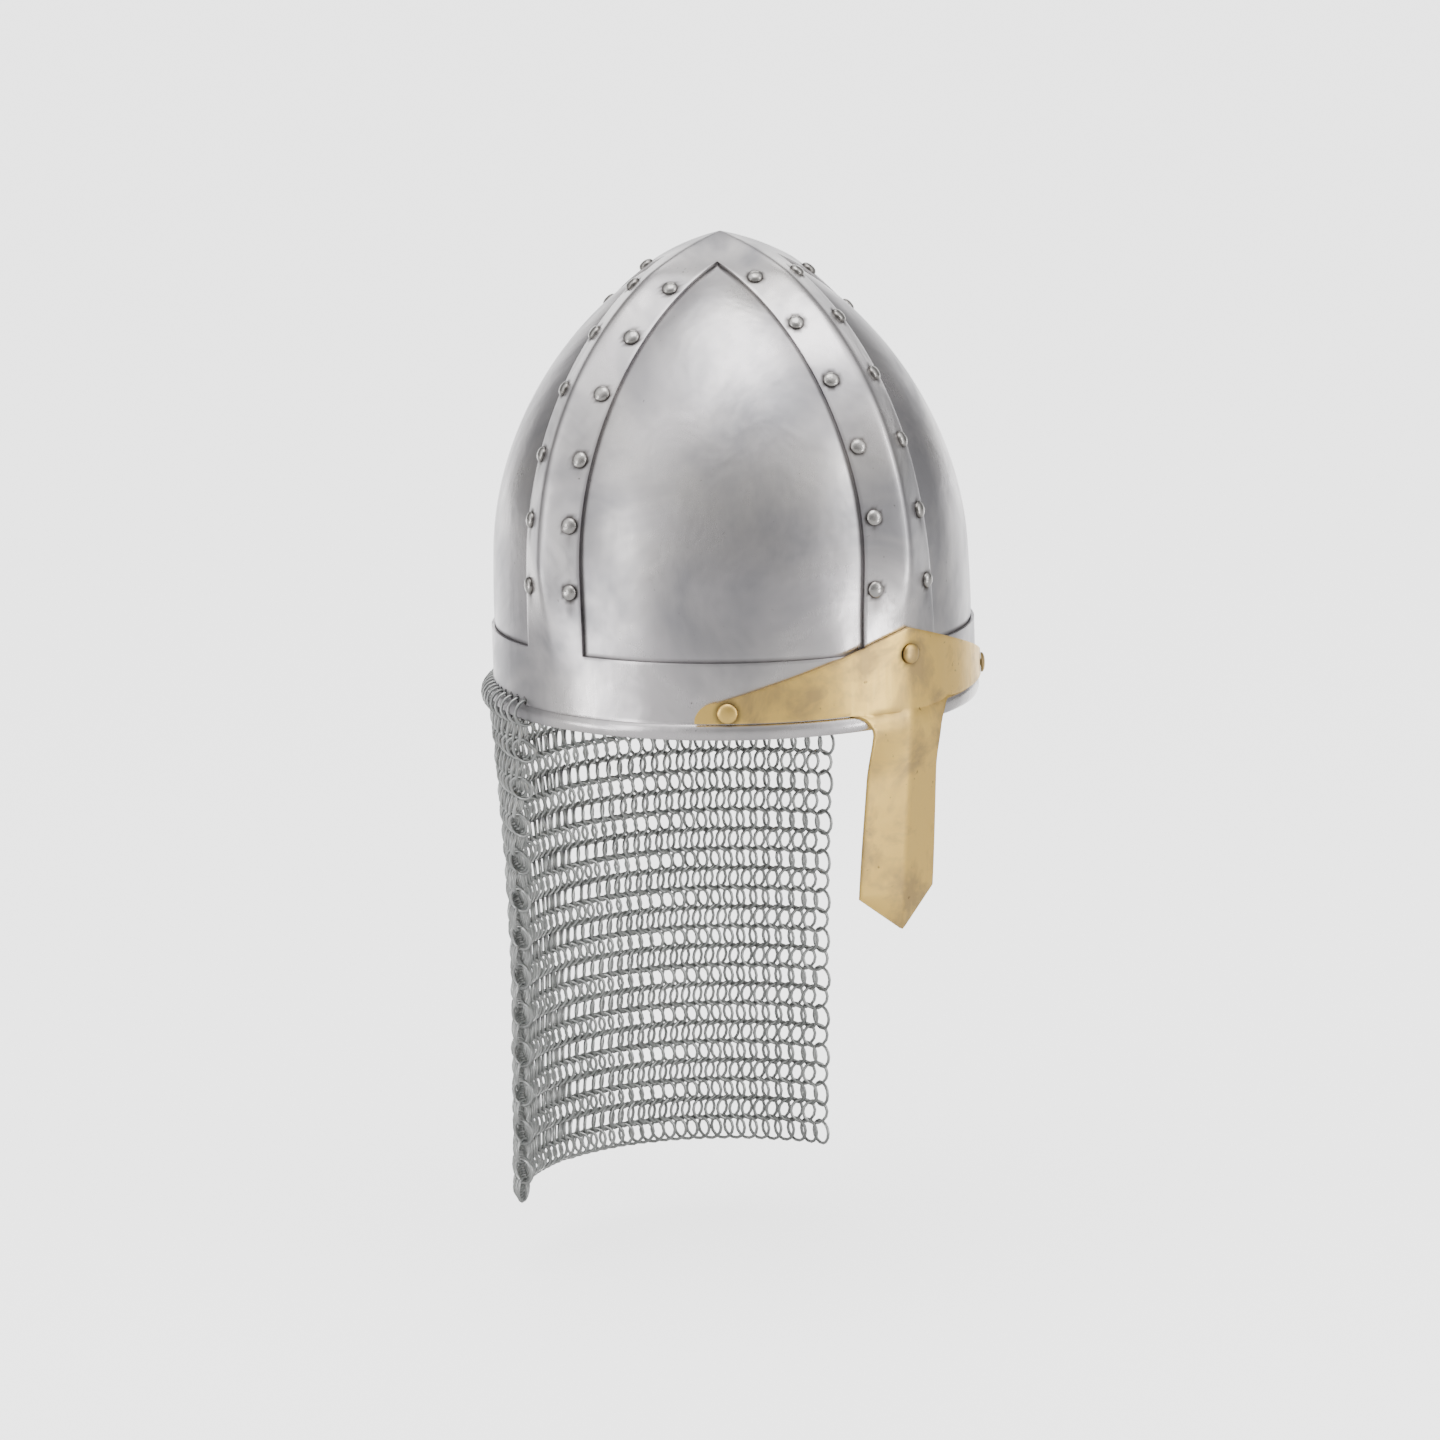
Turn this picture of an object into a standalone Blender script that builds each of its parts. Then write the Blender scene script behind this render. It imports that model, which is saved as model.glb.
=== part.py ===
"""Spangenhelm helmet with a brass nasal guard and a mail neck curtain.

Metres, +Z up, the face towards -Y and the wearer's left side at +X.
The origin is the middle of the rim's lowest plane.
"""

import math

import bmesh
import bpy
from mathutils import Matrix, Vector

# Crown, measured on the outside
HALF_LENGTH = 0.1129
HALF_WIDTH = 0.1053
CROWN_HEIGHT = 0.2091
SPRING_HEIGHT = 0.0673
TOP_EXPONENT = 1.46
BROW_HEIGHT = 0.0339
FRAME_STEEL = 0.0015

# Rolled rim, the half-round swelling along the bottom of the brow band
ROLL_HEIGHT = 0.007
ROLL_PROUD = 0.0014

# Creased bands that rise from the brow band to the apex
BAND_HALF_WIDTH = 0.0176
FRONT_BAND_FLARE = 0.0032
SIDE_BAND_FLARE = 0.0010
BAND_FLARE_HEIGHT = 0.075
CREASE_PROUD = 0.0060
CREASE_START = 0.005
CREASE_FULL = 0.075
CREASE_FADE_SHARE = 1 / 3

# Plates behind the windows
PLATE_STEEL = 0.0012
PLATE_OVERLAP = 0.0100
PLATE_TUCK = 0.0080
PLATE_TIP_REACH = 0.0030
PLATE_BULGE = 0.0022
CLEARANCE = 0.0003

# Steel rivets, with each row's heights as shares of the way from the brow band's top to the apex
RIVET_ROW_INSET = 0.0044
RIVET_ROW_DRAW = 0.0010
RIVET_HEAD_RADIUS = 0.00365
RIVET_HEAD_HEIGHT = 0.0021
RIVET_SHANK_RADIUS = 0.0016
RIVET_STUB = 0.0006
RIVET_DOME_ANGLE = math.radians(48)
FRONT_BACK_RIVET_SHARES = (0.160, 0.337, 0.509, 0.667, 0.800, 0.903)
SIDE_RIVET_SHARES = (0.161, 0.327, 0.487, 0.643, 0.773, 0.881)

# Brass nasal guard with its two wings
BRASS = 0.0020
GUARD_PEAK_HEIGHT = BROW_HEIGHT + 0.0096
GUARD_LOWER_EDGE = ROLL_HEIGHT + 0.0008
WING_LENGTH = 0.0995
WING_ROUND_LENGTH = 0.0100
WING_ROUND_STRETCH = 1.02
WING_END_HEIGHT = GUARD_LOWER_EDGE + 0.0092
RIDGE_LIFT = 0.0014
RIDGE_LIFT_REACH = 0.028
BAR_HALF_WIDTH = 0.0212
BAR_WAIST = 0.0017
BAR_CORNER_DEPTH = 0.0768
BAR_TIP_DEPTH = 0.0928
BAR_FILLET_WIDTH = 0.0130
BAR_FILLET_HEIGHT = 0.0110
BAR_FOLD = 0.0046
BAR_FOLD_RATE = 4
BAR_SETBACK = 0.0097
BAR_RIDGE_OVER_ROLL = 0.6 * ROLL_PROUD
BAR_EDGE_OVER_ROLL = 1.15 * ROLL_PROUD
BRASS_HEAD_RADIUS = 0.0046
BRASS_HEAD_HEIGHT = 0.0018
BRASS_SHANK_RADIUS = 0.0020
NOSE_RIVET_HEIGHT = BROW_HEIGHT - 0.0020
WING_RIVET_HEIGHT = (GUARD_LOWER_EDGE + WING_END_HEIGHT) / 2
WING_RIVET_ALONG = WING_LENGTH - 0.0143

# Mail curtain, angles counted from the front round the wearer's left side
MAIL_START_ANGLE = math.radians(112)
MAIL_END_ANGLE = math.radians(260)
MAIL_THICKNESS = 0.0045
MAIL_DEPTH_LEFT = 0.2350
MAIL_DEPTH_RIGHT = 0.2260
MAIL_GATHER = 0.085
MAIL_GATHER_DEPTH = 0.150
MAIL_BACK_DRIFT = 0.010
MAIL_END_SWING = math.radians(21)
MAIL_HOLES = 41
MAIL_HOLE_RADIUS = 0.0019
MAIL_HOLE_HEIGHT = ROLL_HEIGHT + MAIL_HOLE_RADIUS

# Fineness of the faceted surfaces
WINDOW_COLUMNS = 6
CROWN_ROWS = 11
CAP_ROWS = 3
ROLL_ROWS = 4
RIVET_SIDES = 7
HOLE_SIDES = 6
MAIL_COLUMNS = 16
MAIL_ROWS = 6
GUARD_ROWS = 4
WING_COLUMNS = 5
WING_ROUND_SHARES = (0.5, 0.82, 1.0)
BAR_SHARES = (0.0, 0.5, 1.0)
BAR_ROWS_PAST_ROLL = (0.68, 0.31, 0.0)
BAR_ROWS_BELOW = (0.08, 0.26, 0.62)
SHARP_ANGLE = math.radians(22)
HOLE_PIN_LENGTH = 8 * FRAME_STEEL

PART_NAME = "spangenhelm"
QUADRANTS = ("front_left", "back_left", "back_right", "front_right")


def smooth(share):
    """A rise from 0 to 1 with level ends."""
    share = min(max(share, 0.0), 1.0)
    return share * share * (3 - 2 * share)


def find_height(value_at, target):
    """The height at which a value that falls towards the apex meets its target, by halving."""
    low, high = SPRING_HEIGHT, CROWN_HEIGHT
    for _ in range(50):
        middle = (low + high) / 2
        if value_at(middle) > target:
            low = middle
        else:
            high = middle
    return (low + high) / 2


# Sections of the crown


def reach_share(z):
    """How far the crown reaches at a height: 1 up to the spring line, then a pointed arch to 0."""
    if z <= SPRING_HEIGHT:
        return 1.0
    span = (HALF_LENGTH + HALF_WIDTH) / 2
    rise = CROWN_HEIGHT - SPRING_HEIGHT
    radius = (rise**2 + span**2) / (2 * span)
    across = math.sqrt(max(radius**2 - (z - SPRING_HEIGHT) ** 2, 0.0))
    return max((across - (radius - span)) / span, 0.0)


def exponent(z):
    """The section's superellipse exponent: a true ellipse at the brow, more four-sided above."""
    return 2 + (TOP_EXPONENT - 2) * min(max((z - BROW_HEIGHT) / (CROWN_HEIGHT - BROW_HEIGHT), 0.0), 1.0)


def axes(z):
    """Half width and half length of the section, with the rim's swelling."""
    share = reach_share(z)
    roll = ROLL_PROUD * math.sin(math.pi * z / ROLL_HEIGHT) if 0 < z < ROLL_HEIGHT else 0.0
    return HALF_WIDTH * share + roll, HALF_LENGTH * share + roll


def crease_strength(z):
    return smooth((z - CREASE_START) / (CREASE_FULL - CREASE_START))


def crease_proud(z):
    return CREASE_PROUD * crease_strength(z) * min(1.0, reach_share(z) / CREASE_FADE_SHARE)


def band_half_width(z, flare):
    """Half a band's width: even above, a little wider down at its foot."""
    return BAND_HALF_WIDTH + flare * (1 - smooth((z - BROW_HEIGHT) / BAND_FLARE_HEIGHT))


def edge_angles(z):
    """Superellipse angles of a window's two edges, before they meet: the front one, the side one."""
    wide, long = axes(z)
    half = exponent(z) / 2
    front = math.acos(min(band_half_width(z, FRONT_BAND_FLARE) / wide, 1.0) ** half)
    side = math.asin(min(band_half_width(z, SIDE_BAND_FLARE) / long, 1.0) ** half)
    return front, side


def window_opening(z):
    front, side = edge_angles(z)
    return front - side


WINDOW_TOP = find_height(window_opening, 0.0)
MEETING_ANGLE = edge_angles(WINDOW_TOP)[0]


def on_outline(z, angle):
    """A point of the section's superellipse in its first quadrant, x across and y along."""
    wide, long = axes(z)
    power = 2 / exponent(z)
    return Vector((wide * math.cos(angle) ** power, long * math.sin(angle) ** power))


def band_edges(z):
    """Where the two bands of a quadrant end, or where they meet above the window."""
    front, side = edge_angles(z)
    if front < side or z >= WINDOW_TOP:
        front = side = MEETING_ANGLE
    return front, side


def on_band(z, edge, reach, share, half, inwards):
    """A point of a band at a chord offset: straight from its edge to its crease, and at the brow
    on the ellipse. The first axis runs across the band and the second along its crease plane."""
    crease = reach + crease_proud(z)
    offset = edge[0] * share
    facet = crease + (edge[1] - crease) * share
    arc = reach * (1 - min(offset / half, 1.0) ** inwards) ** (1 / inwards)
    strength = crease_strength(z)
    return Vector((offset, arc + (facet - arc) * strength))


def quadrant_section(z):
    """One quadrant of the section, from the front or back crease to the side one, that one left out.

    In order: crease, plate edge, band edge, window columns, band edge, plate edge.
    """
    wide, long = axes(z)
    front, side = band_edges(z)
    steps = [front + (side - front) * k / WINDOW_COLUMNS for k in range(WINDOW_COLUMNS + 1)]
    window = [on_outline(z, angle) for angle in steps]
    first, last = window[0], window[-1].yx
    under = BAND_HALF_WIDTH - PLATE_OVERLAP
    power = exponent(z)
    near = [on_band(z, first, long, s, wide, power) for s in (0.0, min(under / first[0], 1.0))]
    far = [on_band(z, last, wide, s, long, power) for s in (0.0, min(under / last[0], 1.0))]
    return near + window + [far[1].yx], far[0].yx


def whole_section(z):
    """The closed section as points in space, from the front round the wearer's left side."""
    points, side_crease = quadrant_section(z)
    signs = ((1, -1), (1, 1), (-1, 1), (-1, -1))
    ring = []
    for quadrant, (across, along) in enumerate(signs):
        run = points if quadrant % 2 == 0 else [side_crease] + points[:0:-1]
        ring += [Vector((p.x * across, p.y * along, z)) for p in run]
    return ring


COLUMNS = WINDOW_COLUMNS + 4
FIRST_EDGE, LAST_EDGE = 2, WINDOW_COLUMNS + 2


def meeting_offset(z):
    return on_outline(z, MEETING_ANGLE)[0]


PLATE_BOTTOM = BROW_HEIGHT - PLATE_TUCK
PLATE_TOP = find_height(meeting_offset, BAND_HALF_WIDTH - PLATE_OVERLAP + PLATE_TIP_REACH)


def crown_heights():
    """The heights of the crown's sections, each edge of the frame and of the plates among them."""
    heights = [ROLL_HEIGHT * k / ROLL_ROWS for k in range(ROLL_ROWS + 1)]
    heights += [PLATE_BOTTOM, BROW_HEIGHT]
    heights += arch_heights(BROW_HEIGHT, WINDOW_TOP, CROWN_ROWS)
    heights += [PLATE_TOP]
    heights += arch_heights(PLATE_TOP, CROWN_HEIGHT, CAP_ROWS)[:-1]
    return heights


def arch_heights(bottom, top, count):
    """Heights after the bottom one, up to the top, evenly spaced along the arch's profile."""
    span = (HALF_LENGTH + HALF_WIDTH) / 2
    rise = CROWN_HEIGHT - SPRING_HEIGHT
    radius = (rise**2 + span**2) / (2 * span)

    def run_at(z):
        over = z - SPRING_HEIGHT
        return over if over < 0 else radius * math.asin(min(over / radius, 1.0))

    def height_at(run):
        return SPRING_HEIGHT + (run if run < 0 else radius * math.sin(run / radius))

    start, end = run_at(bottom), run_at(top)
    return [height_at(start + (end - start) * k / count) for k in range(1, count + 1)]


class CrownGrid:
    """The crown's outer surface: sections at each height, joined by faces, closed at the apex."""

    def __init__(self):
        self.heights = crown_heights()
        self.count = 4 * COLUMNS
        self.brow = self.heights.index(BROW_HEIGHT)
        self.plate_bottom = self.heights.index(PLATE_BOTTOM)
        self.plate_top = self.heights.index(PLATE_TOP)
        self.window_top = self.plate_top - 1
        self.mesh = bmesh.new()
        self.rows = [self.add_row(k, z) for k, z in enumerate(self.heights)]
        self.apex = self.mesh.verts.new((0, 0, CROWN_HEIGHT))
        self.cells = self.add_faces()
        self.mesh.verts.index_update()
        self.mesh.normal_update()

    def add_row(self, index, z):
        """One section's vertices. Above the windows a window's columns are one vertex."""
        row = []
        for column, point in enumerate(whole_section(z)):
            inside = FIRST_EDGE < self.place(column)[1] <= LAST_EDGE
            if index >= self.window_top and inside:
                row.append(row[-1])
            else:
                row.append(self.mesh.verts.new(point))
        return row

    def place(self, column):
        """The quadrant of a column, and its place counted from the front or back crease's side."""
        quadrant, place = divmod(column, COLUMNS)
        return quadrant, place

    def add_faces(self):
        cells = {}
        for row in range(len(self.rows)):
            for column in range(self.count):
                after = (column + 1) % self.count
                low = self.rows[row]
                high = self.rows[row + 1] if row + 1 < len(self.rows) else [self.apex] * self.count
                corners = [low[column], low[after], high[after], high[column]]
                unique = list(dict.fromkeys(corners))
                if len(unique) > 2:
                    cells[row, column] = self.mesh.faces.new(unique)
        return cells

    def in_window(self, row, column):
        place = self.place(column)[1]
        return self.brow <= row < self.window_top and FIRST_EDGE <= place < LAST_EDGE

    def in_plate(self, row, column, quadrant):
        this, place = self.place(column)
        rows = self.plate_bottom <= row < self.plate_top
        return rows and this == quadrant and 1 <= place < COLUMNS - 1


def new_mesh_object(name, mesh, collection, material=None):
    data = bpy.data.meshes.new(name)
    mesh.to_mesh(data)
    mesh.free()
    if material:
        data.materials.append(material)
    data.shade_smooth()
    data.set_sharp_from_angle(angle=SHARP_ANGLE)
    thing = bpy.data.objects.new(name, data)
    collection.objects.link(thing)
    return thing


def copy_faces(faces, moved):
    """A new mesh of some faces, each vertex where the function puts it."""
    mesh = bmesh.new()
    made = {}
    for face in faces:
        corners = []
        for vertex in face.verts:
            if vertex.index not in made:
                made[vertex.index] = mesh.verts.new(moved(vertex))
            corners.append(made[vertex.index])
        mesh.faces.new(corners)
    return mesh


def solidify(thing, thickness, offset):
    shell = thing.modifiers.new("thickness", "SOLIDIFY")
    shell.thickness = thickness
    shell.offset = offset
    shell.use_even_offset = True


def cut(thing, cutter):
    boolean = thing.modifiers.new("holes", "BOOLEAN")
    boolean.operation = "DIFFERENCE"
    boolean.object = cutter


# Crown pieces


def make_frame(grid, collection, material):
    faces = [face for place, face in grid.cells.items() if not grid.in_window(*place)]
    mesh = copy_faces(faces, lambda vertex: vertex.co)
    frame = new_mesh_object("crown_frame", mesh, collection, material)
    solidify(frame, FRAME_STEEL, -1)
    return frame


def plate_bulge(point):
    """How far a plate swells out of its window: most in the middle, nothing at the bands' edges."""
    up = (point.z - BROW_HEIGHT) / (WINDOW_TOP - BROW_HEIGHT)
    if not 0 < up < 1:
        return 0.0
    from_front = abs(point.x) - band_half_width(point.z, FRONT_BAND_FLARE)
    from_side = abs(point.y) - band_half_width(point.z, SIDE_BAND_FLARE)
    margin = min(from_front, from_side)
    middle = on_outline(point.z, math.pi / 4)[0]
    room = middle - band_half_width(point.z, FRONT_BAND_FLARE)
    across = min(max(margin / room, 0.0), 1.0)
    return PLATE_BULGE * math.sqrt(math.sin(math.pi * up)) * math.sin(across * math.pi / 2)


def make_plates(grid, collection, material):
    depth = FRAME_STEEL + CLEARANCE

    def moved(vertex):
        inwards = vertex.normal * vertex.calc_shell_factor()
        return vertex.co - inwards * (depth - plate_bulge(vertex.co))

    plates = []
    for quadrant, name in enumerate(QUADRANTS):
        faces = [face for place, face in grid.cells.items() if grid.in_plate(*place, quadrant)]
        plate = new_mesh_object("plate_" + name, copy_faces(faces, moved), collection, material)
        solidify(plate, PLATE_STEEL, -1)
        plates.append(plate)
    return plates


# Rivets


def frame_on_band(z, turn, side):
    """A rivet's place on a band: its seat on the outer facet with +Z along the facet's normal."""
    half = band_half_width(z, SIDE_BAND_FLARE if turn % 2 else FRONT_BAND_FLARE)
    inset = RIVET_ROW_INSET + RIVET_ROW_DRAW * z / CROWN_HEIGHT
    offset = (half - inset) * side
    step = RIVET_SHANK_RADIUS
    along = band_point(z + step, offset, turn) - band_point(z - step, offset, turn)
    over = band_point(z, offset + step, turn) - band_point(z, offset - step, turn)
    return seat_matrix(band_point(z, offset, turn), over.cross(along).normalized())


def band_point(z, offset, turn):
    """A point of band number turn: 0 front, 1 wearer's left, 2 back, 3 wearer's right."""
    wide, long = axes(z)
    front, side = band_edges(z)
    if turn % 2 == 0:
        edge, reach, half = on_outline(z, front), long, wide
    else:
        edge, reach, half = on_outline(z, side).yx, wide, long
    point = on_band(z, edge, reach, abs(offset) / edge[0], half, exponent(z))
    flat = Vector((math.copysign(point[0], offset), -point[1], z))
    return Matrix.Rotation(turn * math.pi / 2, 3, "Z") @ flat


def seat_matrix(point, normal):
    """A frame at a point with its Z axis along the normal."""
    return Matrix.Translation(point) @ normal.to_track_quat("Z", "Y").to_matrix().to_4x4()


def lathe_profile(head_radius, head_height, shank_radius, depth):
    """Half a rivet, down its outer side: domed head, flat underside, shank."""
    dome = [(head_radius * math.sin(a), head_height * math.cos(a)) for a in (0, RIVET_DOME_ANGLE)]
    return dome + [(head_radius, 0), (shank_radius, 0), (shank_radius, -depth), (0, -depth)]


def rivet_mesh(name, profile, material):
    data = bpy.data.meshes.new(name)
    points = [(x, 0, z + CLEARANCE) for x, z in profile]
    data.from_pydata(points, [(k, k + 1) for k in range(len(points) - 1)], [])
    data.materials.append(material)
    return data


def place_rivet(name, data, matrix, collection):
    rivet = bpy.data.objects.new(name, data)
    rivet.matrix_world = matrix
    turn = rivet.modifiers.new("turned", "SCREW")
    turn.steps = turn.render_steps = RIVET_SIDES
    turn.use_merge_vertices = True
    turn.merge_threshold = 0.0001
    turn.use_smooth_shade = True
    collection.objects.link(rivet)
    return rivet


def steel_rivet_seats():
    seats = {}
    for turn, band in enumerate(("front", "left", "back", "right")):
        shares = SIDE_RIVET_SHARES if turn % 2 else FRONT_BACK_RIVET_SHARES
        for side, row in ((-1, "a"), (1, "b")):
            for number, share in enumerate(shares, 1):
                z = BROW_HEIGHT + (CROWN_HEIGHT - BROW_HEIGHT) * share
                seats[f"rivet_{band}_{row}{number}"] = frame_on_band(z, turn, side)
    return seats


def brass_rivet_seats(front):
    seats = {"brass_rivet_nose": front(0.0, NOSE_RIVET_HEIGHT, BRASS)}
    for side, name in ((1, "left"), (-1, "right")):
        seat = front(WING_RIVET_ALONG * side, WING_RIVET_HEIGHT, BRASS)
        seats["brass_rivet_wing_" + name] = seat
    return seats


# Nasal guard


def brow_point(along, z, out):
    """A point off the brow's front, at a distance along it from the middle, with its normal."""
    wide, long = axes(z)
    angle = along / ((HALF_LENGTH + HALF_WIDTH) / 2)
    x = wide * math.sin(angle)
    y = long * math.cos(angle)
    front, _ = band_edges(z)
    edge = on_outline(z, front)
    if abs(x) < edge[0]:
        y = on_band(z, edge, long, abs(x) / edge[0], wide, exponent(z))[1]
    normal = Vector((x / wide**2, -y / long**2, 0)).normalized()
    lift = RIDGE_LIFT * max(0.0, 1 - abs(along) / RIDGE_LIFT_REACH)
    lift *= min(1.0, (GUARD_PEAK_HEIGHT - z) / (GUARD_PEAK_HEIGHT - NOSE_RIVET_HEIGHT))
    return Vector((x, -y, z)) + normal * (out + lift), normal


def brow_seat(along, z, out):
    point, normal = brow_point(along, z, CLEARANCE + out)
    return seat_matrix(point, normal)


def wing_top(along):
    """The height of the guard's upper edge: straight from the peak, then round at the wing's end."""
    straight = WING_LENGTH - WING_ROUND_LENGTH
    if along <= straight:
        return GUARD_PEAK_HEIGHT + (WING_END_HEIGHT - GUARD_PEAK_HEIGHT) * along / straight
    share = (along - straight) / (WING_ROUND_LENGTH * WING_ROUND_STRETCH)
    return GUARD_LOWER_EDGE + (WING_END_HEIGHT - GUARD_LOWER_EDGE) * math.sqrt(1 - share**2)


def bar_half_width(z):
    """Half the nasal bar's width: waisted under the brow, filleted into the wings above."""
    down = smooth(-z / BAR_CORNER_DEPTH)
    width = BAR_HALF_WIDTH - BAR_WAIST * (1 - down)
    into = max(z - GUARD_LOWER_EDGE + BAR_FILLET_HEIGHT, 0.0) / BAR_FILLET_HEIGHT
    return width + BAR_FILLET_WIDTH * (1 - math.sqrt(max(1 - into**2, 0.0)))


def past_roll(z):
    """How much of the rolled rim's swelling the bar has to clear at a height, on the way down."""
    if z <= ROLL_HEIGHT / 2:
        return 1.0
    return math.sin(math.pi * z / ROLL_HEIGHT) if z < ROLL_HEIGHT else 0.0


def bar_point(share, z):
    """A point of the nasal bar's back face: two flat faces from the ridge to the edges, out over
    the rolled rim and then set back towards the face as they go down."""
    width = bar_half_width(z)
    down = max(-z, 0.0) / BAR_TIP_DEPTH
    ridge, _ = brow_point(0.0, GUARD_LOWER_EDGE, CLEARANCE)
    edge, _ = brow_point(width, GUARD_LOWER_EDGE, CLEARANCE)
    ridge_y = ridge.y - BAR_RIDGE_OVER_ROLL * past_roll(z)
    fold = edge.y - BAR_EDGE_OVER_ROLL * past_roll(z) - ridge_y
    fold += (BAR_FOLD - fold) * smooth(BAR_FOLD_RATE * down)
    return Vector((width * share, ridge_y + BAR_SETBACK * down + fold * share, z))


def guard_columns():
    """Distances along the brow for the guard's half: the bar's columns, then the wing's."""
    top = bar_half_width(GUARD_LOWER_EDGE)
    bar = [top * share for share in BAR_SHARES]
    straight = WING_LENGTH - WING_ROUND_LENGTH
    wing = [top + (straight - top) * k / WING_COLUMNS for k in range(1, WING_COLUMNS + 1)]
    round_end = [straight + WING_ROUND_LENGTH * share for share in WING_ROUND_SHARES]
    return bar + wing + round_end


def guard_half():
    """Half the guard's back face: the wing's rows over the brow, and the bar's rows under them."""
    mesh = bmesh.new()
    columns = guard_columns()
    wing = []
    for row in range(GUARD_ROWS + 1):
        share = row / GUARD_ROWS
        line = []
        for along in columns:
            z = GUARD_LOWER_EDGE + (wing_top(along) - GUARD_LOWER_EDGE) * share
            line.append(mesh.verts.new(brow_point(along, z, CLEARANCE)[0]))
        wing.append(line)
    for low, high in zip(wing, wing[1:]):
        join_rows(mesh, low, high)
    add_bar(mesh, wing[0][: len(BAR_SHARES)])
    return mesh


def add_bar(mesh, top):
    """The bar's rows from the wings down: past the rolled rim, down to its corners, and its tip."""
    heights = [GUARD_LOWER_EDGE * share for share in BAR_ROWS_PAST_ROLL]
    heights += [-BAR_CORNER_DEPTH * share for share in BAR_ROWS_BELOW]
    above = top
    for z in heights:
        row = [mesh.verts.new(bar_point(share, z)) for share in BAR_SHARES]
        join_rows(mesh, row, above)
        above = row
    end = []
    for share in BAR_SHARES:
        z = -BAR_TIP_DEPTH + (BAR_TIP_DEPTH - BAR_CORNER_DEPTH) * share
        point = bar_point(share, z)
        end.append(mesh.verts.new((BAR_HALF_WIDTH * share, point.y, z)))
    join_rows(mesh, end, above)


def join_rows(mesh, low, high):
    for k in range(len(low) - 1):
        mesh.faces.new((low[k], low[k + 1], high[k + 1], high[k]))


def make_guard(collection, material):
    guard = new_mesh_object("nasal_guard", guard_half(), collection, material)
    mirror = guard.modifiers.new("other half", "MIRROR")
    mirror.use_axis = (True, False, False)
    mirror.merge_threshold = 0.0001
    solidify(guard, BRASS, 1)
    return guard


# Mail curtain


def rim_point(angle, z, inwards):
    """A point of the brow band at an angle from the front, set in from the outer face."""
    wide, long = axes(z)
    return Vector(((wide - inwards) * math.sin(angle), (inwards - long) * math.cos(angle), z))


def mail_angle(share):
    return MAIL_START_ANGLE + (MAIL_END_ANGLE - MAIL_START_ANGLE) * share


def mail_gather(depth):
    """How far the curtain has gathered in at a depth below the rim, from 0 to 1."""
    return math.sin(min(depth / MAIL_GATHER_DEPTH, 1.0) * math.pi / 2)


def mail_point(share, down):
    """A point in the middle of the curtain. As it hangs it gathers in, drifts back and draws its
    right end back, by the square of the share along it, and it is longer at the wearer's left."""
    length = MAIL_DEPTH_LEFT + (MAIL_DEPTH_RIGHT - MAIL_DEPTH_LEFT) * share
    depth = CLEARANCE + (length - CLEARANCE) * down
    gathered = mail_gather(depth)
    angle = mail_angle(share) - MAIL_END_SWING * gathered * share**2
    rim = rim_point(angle, 0.0, FRAME_STEEL / 2) * (1 - MAIL_GATHER * gathered)
    return Vector((rim.x, rim.y + MAIL_BACK_DRIFT * depth / MAIL_DEPTH_RIGHT, -depth))


def make_mail(collection, material):
    mesh = bmesh.new()
    rows = []
    for row in range(MAIL_ROWS + 1):
        shares = (column / MAIL_COLUMNS for column in range(MAIL_COLUMNS + 1))
        rows.append([mesh.verts.new(mail_point(share, row / MAIL_ROWS)) for share in shares])
    for high, low in zip(rows, rows[1:]):
        join_rows(mesh, low, high)
    curtain = new_mesh_object("mail_curtain", mesh, collection, material)
    solidify(curtain, MAIL_THICKNESS, 0)
    return curtain


# Cutters


def add_hole(mesh, matrix, radius):
    """A six-sided pin for a round hole: its flats clear the radius."""
    wide = radius / math.cos(math.pi / HOLE_SIDES)
    bmesh.ops.create_cone(
        mesh,
        cap_ends=True,
        segments=HOLE_SIDES,
        radius1=wide,
        radius2=wide,
        depth=HOLE_PIN_LENGTH,
        matrix=matrix,
    )


def make_cutter(name, holes, collection):
    mesh = bmesh.new()
    for matrix, radius in holes:
        add_hole(mesh, matrix, radius)
    cutter = new_mesh_object(name, mesh, collection)
    cutter.hide_render = True
    cutter.display_type = "WIRE"
    return cutter


def mail_hole_seats():
    seats = []
    for number in range(MAIL_HOLES):
        angle = mail_angle((number + 0.5) / MAIL_HOLES)
        point = rim_point(angle, MAIL_HOLE_HEIGHT, FRAME_STEEL / 2)
        wide, long = axes(MAIL_HOLE_HEIGHT)
        normal = Vector((point.x / wide**2, point.y / long**2, 0)).normalized()
        seats.append(seat_matrix(point, normal))
    return seats


# Assembly


def new_material(name, colour, roughness, metallic):
    material = bpy.data.materials.new(name)
    material.use_nodes = True
    shader = material.node_tree.nodes["Principled BSDF"]
    shader.inputs["Base Color"].default_value = (*colour, 1)
    shader.inputs["Roughness"].default_value = roughness
    shader.inputs["Metallic"].default_value = metallic
    return material


def new_collection(name):
    collection = bpy.data.collections.new(name)
    bpy.context.scene.collection.children.link(collection)
    return collection


def clear_scene():
    for thing in list(bpy.data.objects):
        bpy.data.objects.remove(thing, do_unlink=True)


def rivet_depth():
    return FRAME_STEEL + PLATE_STEEL + 2 * CLEARANCE + RIVET_STUB


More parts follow.
